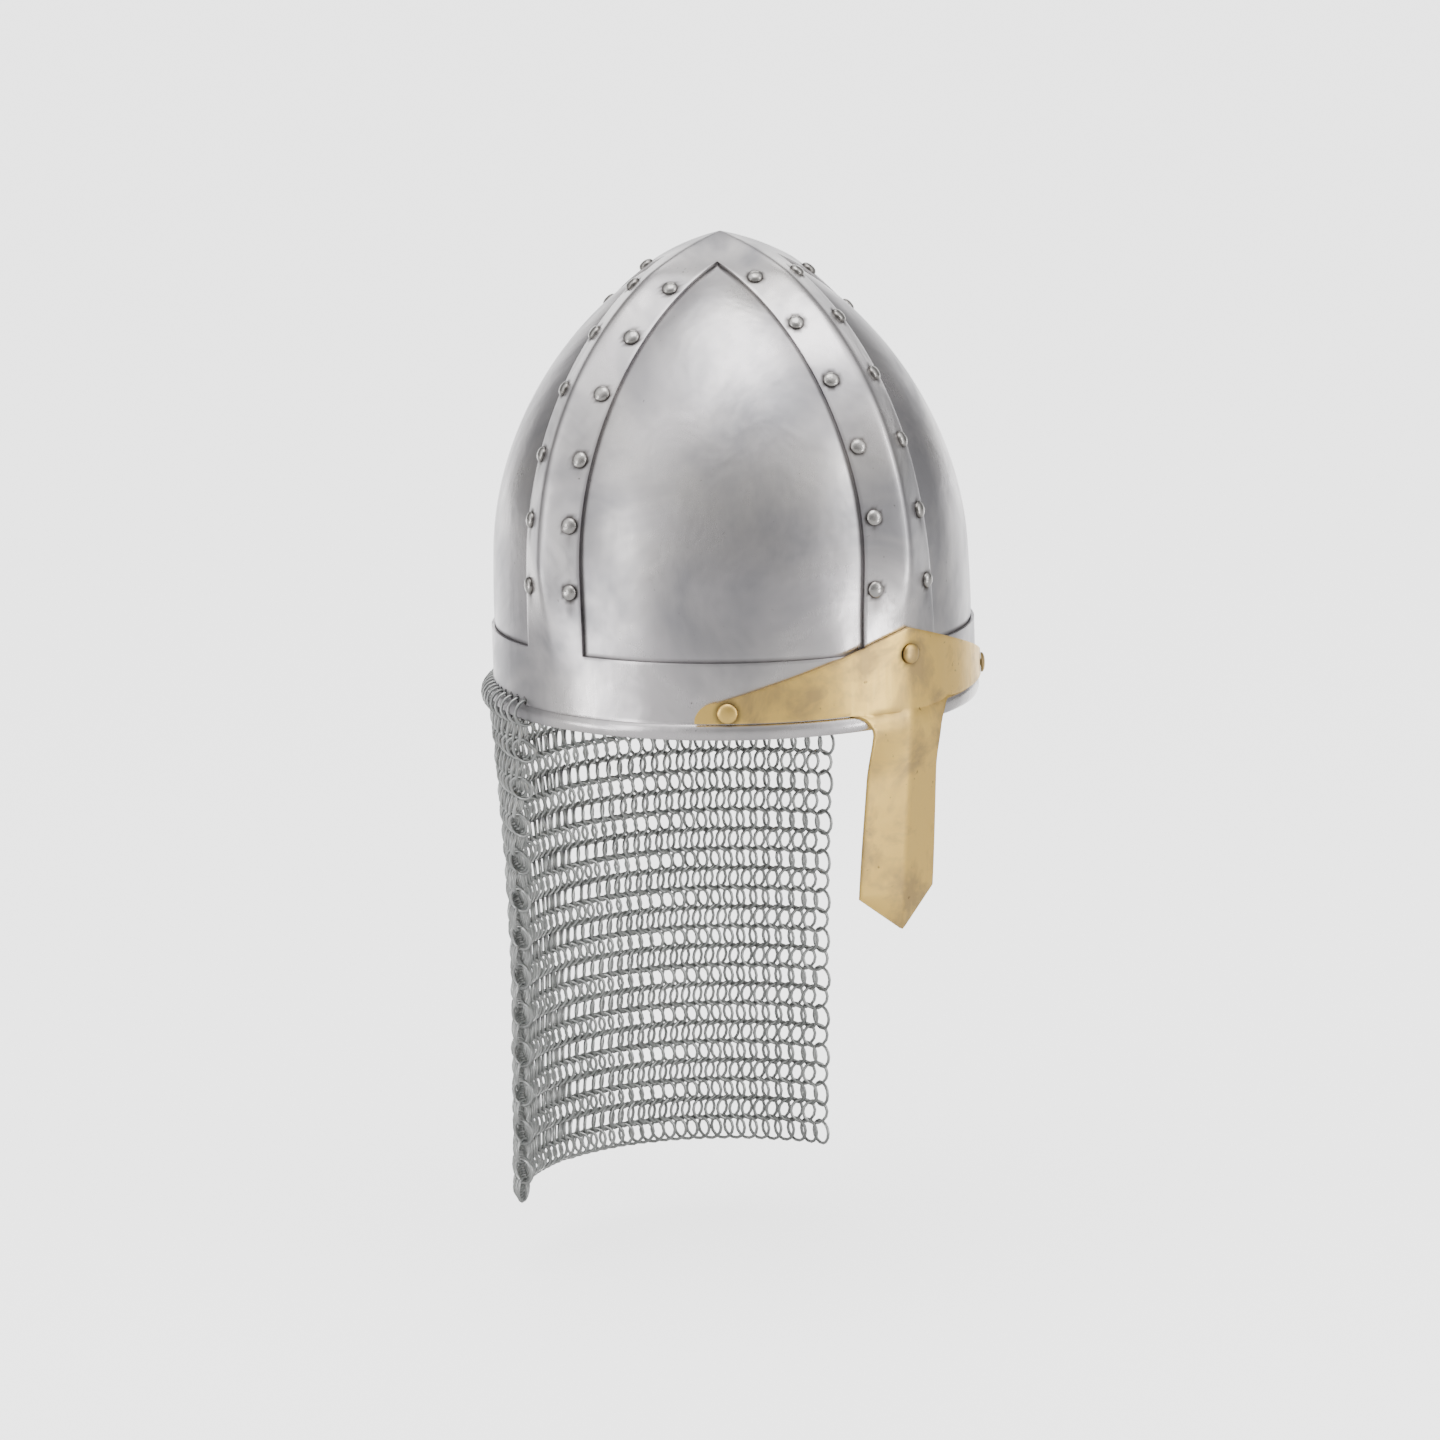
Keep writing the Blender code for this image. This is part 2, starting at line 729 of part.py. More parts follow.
def main():
    clear_scene()
    parts, cutters = new_collection(PART_NAME), new_collection("cutters")
    steel = new_material("steel", (0.52, 0.51, 0.50), 0.32, 1.0)
    bright = new_material("rivet steel", (0.62, 0.60, 0.58), 0.28, 1.0)
    brass = new_material("brass", (0.72, 0.57, 0.33), 0.34, 1.0)
    wire = new_material("mail wire", (0.50, 0.51, 0.51), 0.42, 1.0)

    grid = CrownGrid()
    frame = make_frame(grid, parts, steel)
    plates = make_plates(grid, parts, steel)
    grid.mesh.free()
    guard = make_guard(parts, brass)
    make_mail(parts, wire)

    steel_seats, brass_seats = steel_rivet_seats(), brass_rivet_seats(brow_seat)
    steel_holes = [(seat, RIVET_SHANK_RADIUS + CLEARANCE) for seat in steel_seats.values()]
    brass_holes = [(seat, BRASS_SHANK_RADIUS + CLEARANCE) for seat in brass_seats.values()]
    mail_holes = [(seat, MAIL_HOLE_RADIUS) for seat in mail_hole_seats()]
    cut(frame, make_cutter("frame_holes", steel_holes + brass_holes + mail_holes, cutters))
    plate_cutter = make_cutter("plate_holes", steel_holes, cutters)
    for plate in plates:
        cut(plate, plate_cutter)
    cut(guard, make_cutter("guard_holes", brass_holes, cutters))

    depth = rivet_depth()
    profile = lathe_profile(RIVET_HEAD_RADIUS, RIVET_HEAD_HEIGHT, RIVET_SHANK_RADIUS, depth)
    data = rivet_mesh("steel_rivet", profile, bright)
    for name, seat in steel_seats.items():
        place_rivet(name, data, seat, parts)
    depth = FRAME_STEEL + BRASS + RIDGE_LIFT + 2 * CLEARANCE + RIVET_STUB
    profile = lathe_profile(BRASS_HEAD_RADIUS, BRASS_HEAD_HEIGHT, BRASS_SHANK_RADIUS, depth)
    data = rivet_mesh("brass_rivet", profile, brass)
    for name, seat in brass_seats.items():
        place_rivet(name, data, seat, parts)


main()
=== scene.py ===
"""Looks for a spangenhelm helmet with a brass nasal guard and a mail neck curtain.

Metres, +Z up, the face towards -Y and the wearer's left side at +X.
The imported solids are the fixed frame. Each fine piece here is a surface computed from named sizes,
and stands for the solids of the same name.
"""

import math

import bmesh
import bpy
import numpy as np
from bpy.props import FloatProperty, FloatVectorProperty, IntProperty, PointerProperty
from mathutils import Matrix, Vector


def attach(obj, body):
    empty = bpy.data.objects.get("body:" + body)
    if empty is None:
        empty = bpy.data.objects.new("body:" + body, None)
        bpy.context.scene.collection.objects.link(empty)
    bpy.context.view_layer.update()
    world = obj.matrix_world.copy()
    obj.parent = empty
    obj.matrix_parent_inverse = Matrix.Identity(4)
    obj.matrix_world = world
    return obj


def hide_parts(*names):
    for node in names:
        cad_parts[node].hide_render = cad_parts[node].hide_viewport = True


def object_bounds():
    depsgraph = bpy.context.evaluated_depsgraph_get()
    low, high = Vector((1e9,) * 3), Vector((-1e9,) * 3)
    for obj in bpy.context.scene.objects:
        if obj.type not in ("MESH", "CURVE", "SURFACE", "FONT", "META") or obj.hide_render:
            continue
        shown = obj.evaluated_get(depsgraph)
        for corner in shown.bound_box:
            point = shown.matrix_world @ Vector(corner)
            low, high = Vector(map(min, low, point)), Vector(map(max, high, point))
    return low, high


bl_info = {
    "name": "Spangenhelm",
    "version": (1, 0, 0),
    "blender": (4, 5, 0),
    "location": "View3D > Sidebar > Spangenhelm",
    "description": "Builds a riveted steel helmet with a brass nasal guard and a mail curtain",
    "category": "Add Mesh",
}

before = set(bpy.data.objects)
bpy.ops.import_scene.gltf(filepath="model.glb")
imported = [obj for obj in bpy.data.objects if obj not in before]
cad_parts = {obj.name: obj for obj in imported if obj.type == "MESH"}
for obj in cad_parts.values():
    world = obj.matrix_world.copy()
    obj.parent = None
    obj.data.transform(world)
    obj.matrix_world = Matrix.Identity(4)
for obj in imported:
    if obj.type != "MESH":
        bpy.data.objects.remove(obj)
CAD_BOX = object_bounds()

BODY = "root"
BANDS = ("front", "left", "back", "right")
QUADRANTS = ("front_left", "back_left", "back_right", "front_right")
# Which way each lies from the middle, across and along
QUADRANT_SIGNS = ((1, -1), (1, 1), (-1, 1), (-1, -1))
# Points closer than this are one point
WELD = 1e-5
# A divisor is never smaller than this
TINY = 1e-12


# Settings


def length(name, description, default):
    return FloatProperty(
        name=name, description=description, default=default, unit="LENGTH", precision=4
    )


def number(name, description, default):
    return FloatProperty(name=name, description=description, default=default)


def turn(name, description, degrees):
    return FloatProperty(
        name=name, description=description, default=math.radians(degrees), subtype="ANGLE"
    )


def factor(name, description, default):
    return FloatProperty(
        name=name, description=description, default=default, min=0.0, max=1.0, subtype="FACTOR"
    )


def colour(name, description, default):
    return FloatVectorProperty(
        name=name,
        description=description,
        default=default,
        size=3,
        min=0.0,
        max=1.0,
        subtype="COLOR",
    )


def count(name, description, default):
    return IntProperty(name=name, description=description, default=default, min=1)


class CrownSettings(bpy.types.PropertyGroup):
    """Sizes of the crown's frame and plates"""

    half_length: length("Half length", "From the middle to the brow's front", 0.1129)
    half_width: length("Half width", "From the middle to the brow's side", 0.1053)
    height: length("Height", "From the rim to the apex", 0.2091)
    spring_height: length("Spring height", "Where the upright wall turns into the arch", 0.0673)
    top_exponent: number("Top exponent", "Superellipse exponent of the section at the apex", 1.46)
    brow_height: length("Brow height", "The brow band's height, up to the windows", 0.0339)
    steel: length("Frame steel", "Thickness of the frame", 0.0015)
    roll_height: length("Roll height", "Height of the rolled rim", 0.007)
    roll_proud: length("Roll proud", "How far the rolled rim stands out", 0.0014)
    band_half_width: length("Band half width", "Half the width of a creased band", 0.0176)
    front_flare: length("Front band flare", "How much wider front and back bands are below", 0.0032)
    side_flare: length("Side band flare", "How much wider the side bands are below", 0.0010)
    flare_height: length("Flare height", "Height over which a band widens", 0.075)
    crease_proud: length("Crease proud", "How far a band's crease stands out", 0.0060)
    crease_start: length("Crease start", "Height where the crease begins", 0.005)
    crease_full: length("Crease full", "Height where the crease is at its full depth", 0.075)
    crease_fade: factor("Crease fade", "Share of the reach below which the crease fades", 1 / 3)
    crease_round: length("Crease rounding", "Radius that rounds the crease's ridge", 0.0016)
    plate_steel: length("Plate steel", "Thickness of the plates", 0.0012)
    plate_overlap: length("Plate overlap", "How far a plate goes under a band", 0.0100)
    plate_tuck: length("Plate tuck", "How far a plate goes under the brow band", 0.0080)
    plate_tip: length("Plate tip", "Half width of a plate's tip above its window", 0.0030)
    plate_bulge: length("Plate bulge", "How far a plate swells out in its window", 0.0022)
    clearance: length("Clearance", "Gap between pieces", 0.0003)


class GuardSettings(bpy.types.PropertyGroup):
    """Sizes of the brass nasal guard"""

    brass: length("Thickness", "Thickness of the sheet", 0.0020)
    peak_height: length("Peak height", "Height of the upper edge in the middle", 0.0435)
    lower_edge: length("Lower edge", "Height of the wings' lower edge", 0.0078)
    wing_length: length("Wing length", "Along the brow from the middle to its end", 0.0995)
    wing_round: length("Wing rounding", "Length of the rounded end", 0.0100)
    wing_stretch: number("Wing stretch", "The rounding's full length for its drawn one", 1.02)
    wing_end: length("Wing end height", "Height of the upper edge where it rounds", 0.0170)
    ridge_lift: length("Ridge lift", "How far the ridge stands off the brow", 0.0014)
    ridge_reach: length("Ridge reach", "Along the brow, where that lift ends", 0.028)
    nose_rivet: length("Nose rivet height", "Height of the brass rivet over the nose", 0.0319)
    bar_half_width: length("Bar half width", "Half the nasal bar's width at its corners", 0.0212)
    bar_waist: length("Bar waist", "How much narrower it is under the brow", 0.0017)
    corner_depth: length("Corner depth", "Depth of the bar's corners below the rim", 0.0768)
    tip_depth: length("Tip depth", "Depth of the bar's tip below the rim", 0.0928)
    fillet_width: length("Fillet width", "Width of the curve between bar and wing", 0.0130)
    fillet_height: length("Fillet height", "Height of that curve", 0.0110)
    fold: length("Fold", "How far the bar's edges lie behind its ridge", 0.0046)
    fold_rate: number("Fold rate", "How soon the fold settles", 4.0)
    setback: length("Setback", "How far the tip lies behind the brow", 0.0097)
    ridge_over_roll: length("Ridge over roll", "Room for the rolled rim at the ridge", 0.00084)
    edge_over_roll: length("Edge over roll", "Room for the rolled rim at the edges", 0.00161)


class RivetSettings(bpy.types.PropertyGroup):
    """Sizes of the rivets"""

    head_radius: length("Head radius", "Steel rivet's head", 0.00365)
    head_height: length("Head height", "Steel rivet's dome", 0.0022)
    brass_radius: length("Brass head radius", "Brass rivet's head", 0.0046)
    brass_height: length("Brass head height", "Brass rivet's dome", 0.0018)
    shank: length("Shank radius", "Steel rivet's shank", 0.0016)
    tail: length("Tail radius", "Spread end inside the helmet", 0.0027)


class MailSettings(bpy.types.PropertyGroup):
    """Sizes of the mail curtain"""

    start_angle: turn("Start angle", "Where it starts, from the front round the wearer's left", 112)
    end_angle: turn("End angle", "Where it ends", 260)
    end_swing: turn("End swing", "How far the right end draws back as it hangs", 21)
    columns: count("Columns", "Rings in a full row", 41)
    rows: count("Rows", "Rows below the hanging rings", 25)
    ring_radius: length("Ring radius", "From a ring's middle to its wire's middle", 0.00565)
    wire_radius: length("Wire radius", "Half the wire's thickness", 0.0008)
    hole_height: length("Hole height", "Height of the holes in the rim", 0.0089)
    hole_radius: length("Hole radius", "Radius of the holes in the rim", 0.0019)
    first_left: length("First row at the left", "Depth of its ring centres there", 0.0063)
    first_right: length("First row at the right", "Depth of its ring centres there", 0.0060)
    pitch_left: length("Pitch at the left", "Row to row at the wearer's left end", 0.00946)
    pitch_right: length("Pitch at the right", "Row to row at the wearer's right end", 0.0093)
    lean: turn("Lean", "Turn of a ring's plane out of the curtain", 25)
    end_lean: turn("End lean", "More turn at the right end", 11)
    gather: factor("Gather", "Share by which the curtain narrows as it hangs", 0.085)
    gather_depth: length("Gather depth", "Depth where it is fully gathered", 0.150)
    drift: length("Drift", "How far it hangs towards the back, at the drift depth", 0.010)
    drift_depth: length("Drift depth", "Depth at which it has drifted that far", 0.226)


class FinishSettings(bpy.types.PropertyGroup):
    """Colours of the metals, and the reach of the dirt and painted shade on them"""

    steel: colour("Steel", "Polished steel of the plates", (0.585, 0.56, 0.575))
    steel_frame: colour("Frame steel", "Brighter steel of the frame", (0.67, 0.64, 0.65))
    steel_warm: colour("Warm steel", "Warmer clouds in the polish", (0.60, 0.575, 0.55))
    steel_dull: colour("Dull steel", "Duller clouds in the polish", (0.31, 0.305, 0.325))
    rivet: colour("Rivet", "Steel rivets' heads", (0.46, 0.445, 0.43))
    rivet_dull: colour("Dull rivet", "Hollows of their hammer marks", (0.30, 0.28, 0.25))
    brass: colour("Brass", "Pale brass", (0.86, 0.58, 0.17))
    brass_dark: colour("Dull brass", "Duller patches", (0.52, 0.36, 0.15))
    brass_pit: colour("Pitted brass", "Small pits", (0.20, 0.13, 0.06))
    wire: colour("Wire", "The lightest mail rings", (0.51, 0.52, 0.51))
    wire_dark: colour("Dark wire", "The darkest rings' tint", (0.30, 0.31, 0.305))
    wire_grime: colour("Wire grime", "Grime on the wire", (0.26, 0.25, 0.235))
    # Colour of the dirt and painted shade round rivets and of the painted contact shadow in the
    # seams; the steel's pits take it too
    soil: colour("Soil", "Dirt round rivets and seams", (0.055, 0.048, 0.042))
    # How far the darkening reaches: dirt with painted shadow round the heads, a faint darker streak
    # under a rivet, and painted contact shadow in a seam
    halo: length("Halo", "How far the dirt round a rivet's head fades", 0.0008)
    halo_brass: length("Brass halo", "How far it fades round a brass rivet's head", 0.0014)
    streak: length("Streak", "Length of the faint streak under a rivet", 0.012)
    streak_width: length("Streak width", "Half its width", 0.0022)
    # A seam's darkening is painted contact shadow
    seam: length("Seam", "How far the dirt in a seam fades", 0.0005)


class StageSettings(bpy.types.PropertyGroup):
    """Camera and floor"""

    azimuth: turn("Azimuth", "Camera's turn from the front to the wearer's right", 41.148)
    elevation: turn("Elevation", "Camera's direction above the horizon", 10.104)
    distance: length("Distance", "Camera's distance", 2.5995)
    orbit_height: length("Orbit height", "Height of the point the distance is from", 0.050)
    roll: turn("Roll", "Camera's roll", -1.825)
    lens: FloatProperty(name="Lens", description="Focal length", default=144.374, unit="CAMERA")
    floor_drop: length("Floor drop", "From the mail's lowest point to the floor", 0.035)
    floor_radius: length("Floor radius", "Radius of the round floor", 16.0)
    floor_glow: number("Floor glow", "Strength of the floor's light", 2.4)
    backdrop_edge: turn("Backdrop edge", "From straight behind, where the lit floor ends", 55)
    backdrop_full: turn("Backdrop full", "From straight behind, where it is fully lit", 30)


class HelmetSettings(bpy.types.PropertyGroup):
    """All settings of the helmet"""

    crown: PointerProperty(type=CrownSettings)
    guard: PointerProperty(type=GuardSettings)
    rivets: PointerProperty(type=RivetSettings)
    mail: PointerProperty(type=MailSettings)
    finish: PointerProperty(type=FinishSettings)
    stage: PointerProperty(type=StageSettings)


# Meshes from arrays


def smooth(share):
    """A rise from 0 to 1 with level ends: 3s^2 - 2s^3."""
    share = np.clip(share, 0.0, 1.0)
    return share * share * (3 - 2 * share)


def halve(low, high, is_low):
    """Where a test of a height stops being true, by halving the range 50 times."""
    for _ in range(50):
        middle = (low + high) / 2
        if is_low(middle):
            low = middle
        else:
            high = middle
    return (low + high) / 2


def unit(vectors):
    """Vectors divided by their lengths."""
    return vectors / np.maximum(np.linalg.norm(vectors, axis=-1, keepdims=True), TINY)


def points_of(x, y, z):
    """An array of points from three arrays that broadcast together."""
    return np.stack(np.broadcast_arrays(x, y, z), axis=-1)


def grid_faces(rows, columns, closed=False):
    """The quads of a grid numbered row by row. If it is closed, its last column joins its first."""
    row = np.arange(rows - 1)[:, None]
    column = np.arange(columns if closed else columns - 1)[None, :]
    after = (column + 1) % columns
    low, high = row * columns, (row + 1) * columns
    quads = [low + column, low + after, high + after, high + column]
    return np.stack(quads, axis=-1).reshape(-1, 4)


def joined(grids):
    """Points and quads of several grids, each (points, closed), as one list of each."""
    points, faces, start = [], [], 0
    for grid, closed in grids:
        rows, columns = grid.shape[:2]
        points.append(grid.reshape(-1, 3))
        faces.append(grid_faces(rows, columns, closed) + start)
        start += rows * columns
    return np.concatenate(points), np.concatenate(faces)


def add_object(name, data):
    """A new object, in the scene."""
    item = bpy.data.objects.new(name, data)
    bpy.context.scene.collection.objects.link(item)
    return item


def new_piece(name, points, faces, material, weld=True):
    """A mesh object at the origin, its doubled points merged where its parts meet."""
    mesh = bpy.data.meshes.new(name)
    mesh.from_pydata(points.tolist(), [], faces.tolist())
    if weld:
        merge(mesh)
    mesh.materials.append(material)
    return add_object(name, mesh)


def merge(mesh):
    """Points closer than the weld distance become one, and faces with no area go."""
    work = bmesh.new()
    work.from_mesh(mesh)
    bmesh.ops.remove_doubles(work, verts=work.verts, dist=WELD)
    bmesh.ops.dissolve_degenerate(work, edges=work.edges, dist=WELD)
    work.to_mesh(mesh)
    work.free()


def thicken(piece, thickness, offset, bevel):
    """A wall from an open surface, with its cut edges slightly rounded."""
    wall = piece.modifiers.new("thickness", "SOLIDIFY")
    wall.thickness = thickness
    wall.offset = offset
    edge = piece.modifiers.new("edges", "BEVEL")
    edge.width = bevel
    edge.segments = 2
    edge.limit_method = "ANGLE"
    edge.angle_limit = math.radians(55)


def apply_modifiers(piece):
    """Puts the modifiers' result in the piece's own mesh."""
    evaluated = piece.evaluated_get(bpy.context.evaluated_depsgraph_get())
    mesh = bpy.data.meshes.new_from_object(evaluated)
    piece.modifiers.clear()
    piece.data = mesh


def finish_piece(piece, nodes, sharp=38):
    """Shades a piece, smooth up to an angle in degrees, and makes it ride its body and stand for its
    CAD nodes."""
    piece.data.shade_smooth()
    piece.data.set_sharp_from_angle(angle=math.radians(sharp))
    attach(piece, BODY)
    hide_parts(*nodes)


def coordinates(mesh):
    """A mesh's points as an array."""
    values = np.empty(len(mesh.vertices) * 3, np.float32)
    mesh.vertices.foreach_get("co", values)
    return values.reshape(-1, 3).astype(float)


def set_attribute(mesh, name, values):
    """A number at each point, for the materials."""
    attribute = mesh.attributes.new(name, "FLOAT", "POINT")
    attribute.data.foreach_set("value", np.asarray(values, np.float32))


# The crown's surface

# Points across a band and across a window, and steps up a window
BAND_COLUMNS = 25
WINDOW_COLUMNS = 61
WINDOW_STEPS = 96
# How much of the metal the darkening covers at its thickest: dirt with painted shadow round the
# rivets and at their heads' feet, a faint darker streak under the frame's rivets, and painted
# contact shadow in the plates' seams
HALO_DIRT_AND_SHADE = 0.9
STREAK_DARKENING = 0.35
SEAM_SHADE = 0.6
GUARD_DIRT_AND_SHADE = 0.7
HEAD_DIRT_AND_SHADE = 0.7


def arch(c):
    """Span and radius of the arch that the crown's profile follows above the spring line."""
    span = (c.half_length + c.half_width) / 2
    rise = c.height - c.spring_height
    return span, (rise**2 + span**2) / (2 * span)


def reach_share(c, z, inset=0.0):
    """The profile's reach as a share: an arc of the arch's radius, less an inset, on its centre."""
    span, radius = arch(c)
    over = np.maximum(z - c.spring_height, 0.0)
    across = np.sqrt(np.maximum((radius - inset) ** 2 - over**2, 0.0))
    return np.maximum((across - (radius - span)) / span, 0.0)


def exponent(c, z):
    """The superellipse exponent: 2 at the brow, then falling evenly to the apex."""
    share = np.clip((z - c.brow_height) / (c.height - c.brow_height), 0.0, 1.0)
    return 2 + (c.top_exponent - 2) * share


def roll_swelling(c, z):
    """The rim's half-round swelling: the square root of a sine, so that it starts with a ledge."""
    share = np.clip(z / c.roll_height, 0.0, 1.0)
    return c.roll_proud * np.sqrt(np.maximum(np.sin(math.pi * share), 0.0))


def axes(c, z, inset=0.0):
    """Half width and half length of the section: the brow's by the profile, and the rim's roll."""
    share = reach_share(c, z, inset)
    swelling = roll_swelling(c, z)
    return c.half_width * share + swelling, c.half_length * share + swelling


def crease_strength(c, z):
    """A smooth rise from the rim up to the height where the crease is full."""
    return smooth((z - c.crease_start) / (c.crease_full - c.crease_start))


def crease_proud(c, z):
    """How far the crease stands out: full, by its strength, and evenly down to 0 at the apex."""
    fade = np.minimum(1.0, reach_share(c, z) / c.crease_fade)
    return c.crease_proud * crease_strength(c, z) * fade


def band_half_width(c, z, side):
    """Half a band's width: even, plus a flare that fades smoothly above the brow."""
    flare = c.side_flare if side else c.front_flare
    return c.band_half_width + flare * (1 - smooth((z - c.brow_height) / c.flare_height))


def edge_angles(c, z, inset=0.0):
    """Superellipse angles of a window's front and side edges, before they meet."""
    wide, long = axes(c, z, inset)
    power = exponent(c, z) / 2
    across = np.minimum(band_half_width(c, z, False) / np.maximum(wide, TINY), 1.0)
    along = np.minimum(band_half_width(c, z, True) / np.maximum(long, TINY), 1.0)
    return np.arccos(across**power), np.arcsin(along**power)


def window_top(c):
    """Height where a window's two edges meet."""

    def is_open(z):
        front, side = edge_angles(c, z)
        return front > side

    return halve(c.spring_height, c.height, is_open)


def outline(c, z, angle, inset=0.0):
    """A point of the superellipse: wide * cos^(2/n) across and long * sin^(2/n) along."""
    wide, long = axes(c, z, inset)
    power = 2 / exponent(c, z)
    return wide * np.cos(angle) ** power, long * np.sin(angle) ** power


def band_edges(c, z, inset=0.0):
    """A window's edge angles, which stay at their meeting angle above its top."""
    front, side = edge_angles(c, z, inset)
    top = window_top(c)
    meeting = edge_angles(c, top)[0]
    above = (front < side) | (z >= top)
    return np.where(above, meeting, front), np.where(above, meeting, side)


def band_section(c, z, across, side, inset=0.0):
    """A band's section at signed shares across it: offset, and reach from the middle.

    Straight from each edge to the crease, with the ridge rounded, and blended into the ellipse
    near the rim by the crease's strength.
    """
    wide, long = axes(c, z, inset)
    front_angle, side_angle = band_edges(c, z, inset)
    if side:
        edge_reach, edge_offset = outline(c, z, side_angle, inset)
        reach, half = wide, long
    else:
        edge_offset, edge_reach = outline(c, z, front_angle, inset)
        reach, half = long, wide
    offset = edge_offset * across
    rounding = np.minimum(c.crease_round, edge_offset / 4)
    from_ridge = np.sqrt(offset**2 + rounding**2) - rounding
    whole = np.sqrt(edge_offset**2 + rounding**2) - rounding
    crease = reach + crease_proud(c, z)
    facet = crease + (edge_reach - crease) * from_ridge / np.maximum(whole, TINY)
    power = exponent(c, z)
    inside = 1 - np.minimum(np.abs(offset) / np.maximum(half, TINY), 1.0) ** power
    arc = reach * inside ** (1 / power)
    return offset, arc + (facet - arc) * crease_strength(c, z)


def band_surface(c, z, across, band, inset=0.0):
    """Points of band number 0 front, 1 wearer's left, 2 back or 3 wearer's right."""
    offset, reach = band_section(c, z, across, band % 2 == 1, inset)
    turned = math.pi / 2 * band
    x = offset * math.cos(turned) + reach * math.sin(turned)
    y = offset * math.sin(turned) - reach * math.cos(turned)
    return points_of(x, y, z)


def window_surface(c, z, share, quadrant, inset=0.0):
    """Points of a quadrant between its bands, from the band before it to the band after it."""
    front, side = band_edges(c, z, inset)
    first, last = (front, side) if quadrant % 2 == 0 else (side, front)
    x, y = outline(c, z, first + (last - first) * share, inset)
    across, along = QUADRANT_SIGNS[quadrant]
    return points_of(x * across, y * along, z)


def arch_heights(c, bottom, top, steps):
    """Heights from bottom to top, evenly spaced along the profile's upright and its arc."""
    _, radius = arch(c)

    def run_at(z):
        over = z - c.spring_height
        return over if over < 0 else radius * math.asin(min(over / radius, 1.0))

    run = np.linspace(run_at(bottom), run_at(top), steps + 1)
    return c.spring_height + np.where(run < 0, run, radius * np.sin(run / radius))


def brow_heights(c):
    """Heights up the brow band, close together on the rolled rim."""
    turned = np.linspace(0.0, math.pi, 17)
    roll = c.roll_height * (1 - np.cos(turned)) / 2
    return np.concatenate([roll, np.linspace(c.roll_height, c.brow_height, 18)[1:]])


def brow_ring(c):
    """The brow band all the way round, as one closed grid."""
    z = brow_heights(c)[:, None]
    across = np.linspace(-1, 1, BAND_COLUMNS)[None, :]
    share = np.linspace(0, 1, WINDOW_COLUMNS)[None, :]
    parts = []
    for k in range(4):
        parts.append(band_surface(c, z, across, k)[:, :-1])
        parts.append(window_surface(c, z, share, k)[:, :-1])
    return np.concatenate(parts, axis=1)


def band_rows(c):
    """Heights up a band from the brow: along its windows, and on to the apex."""
    top = window_top(c)
    lower = arch_heights(c, c.brow_height, top, WINDOW_STEPS)
    upper = arch_heights(c, top, c.height, 20)
    return np.concatenate([lower, upper[1:]])


def rim_points(c, angle, z, inwards):
    """Points of the brow's ellipse at angles from the front, set in, and their outward normals."""
    x = (c.half_width - inwards) * np.sin(angle)
    y = (inwards - c.half_length) * np.cos(angle)
    normal = unit(points_of(x / c.half_width**2, y / c.half_length**2, 0.0))
    return points_of(x, y, z), normal


def mail_hole_points(c, m):
    """Middle of each hanging hole in the wall, and the outward direction there."""
    share = (np.arange(m.columns) + 0.5) / m.columns
    angle = m.start_angle + (m.end_angle - m.start_angle) * share
    return rim_points(c, angle, m.hole_height, c.steel / 2)


def hole_cutter(c, m):
    """Round pins through the rim, one for each hanging ring."""
    work = bmesh.new()
    places, normals = mail_hole_points(c, m)
    for place, normal in zip(places, normals):
        turned = Vector(normal).to_track_quat("Z", "Y").to_matrix().to_4x4()
        bmesh.ops.create_cone(
            work,
            cap_ends=True,
            segments=16,
            radius1=m.hole_radius,
            radius2=m.hole_radius,
            depth=c.steel * 5,
            matrix=Matrix.Translation(place) @ turned,
        )
    mesh = bpy.data.meshes.new("rim_holes")
    work.to_mesh(mesh)
    work.free()
    return add_object("rim_holes", mesh)


def bell(distance, reach):
    """A share that falls from 1 as a bell curve over a distance."""
    return np.exp(-((distance / reach) ** 2))


def dirt_and_shade_near_rivets(points, radius, f):
    """Dirt and painted shadow round each steel rivet: a bell from its head's edge, and a faint
    darker streak that hangs under it, as a bell to its sides and a sine down its length."""
    soil = np.zeros(len(points))
    for node in rivet_nodes():
        apart = points - seat_of(node)[0]
        distance = np.linalg.norm(apart, axis=1)
        halo = HALO_DIRT_AND_SHADE * bell(np.maximum(distance - radius, 0.0), f.halo)
        sideways = np.sqrt(np.maximum(distance**2 - apart[:, 2] ** 2, 0.0))
        below = np.clip(-apart[:, 2] / f.streak, 0.0, 1.0)
        streak = STREAK_DARKENING * bell(sideways, f.streak_width) * np.sin(math.pi * below)
        soil = np.maximum(soil, np.maximum(halo, streak))
    return soil


def build_frame(h, material):
    """The brow band and the four bands in one wall, pierced for the hanging rings."""
    c = h.crown
    z = band_rows(c)[:, None]
    across = np.linspace(-1, 1, BAND_COLUMNS)[None, :]
    grids = [(brow_ring(c), True)]
    grids += [(band_surface(c, z, across, k), False) for k in range(4)]
    points, faces = joined(grids)
    piece = new_piece("crown_frame_fine", points, faces, material)
    thicken(piece, c.steel, -1, 0.0003)
    holes = piece.modifiers.new("holes", "BOOLEAN")
    holes.operation = "DIFFERENCE"
    holes.object = hole_cutter(c, h.mail)
    apply_modifiers(piece)
    bpy.data.objects.remove(bpy.data.objects["rim_holes"], do_unlink=True)
    # Dirt with painted shadow round the frame's rivets, and a faint darker streak under each
    soil = dirt_and_shade_near_rivets(coordinates(piece.data), h.rivets.head_radius, h.finish)
    set_attribute(piece.data, "soil", soil)
    finish_piece(piece, ["crown_frame"])


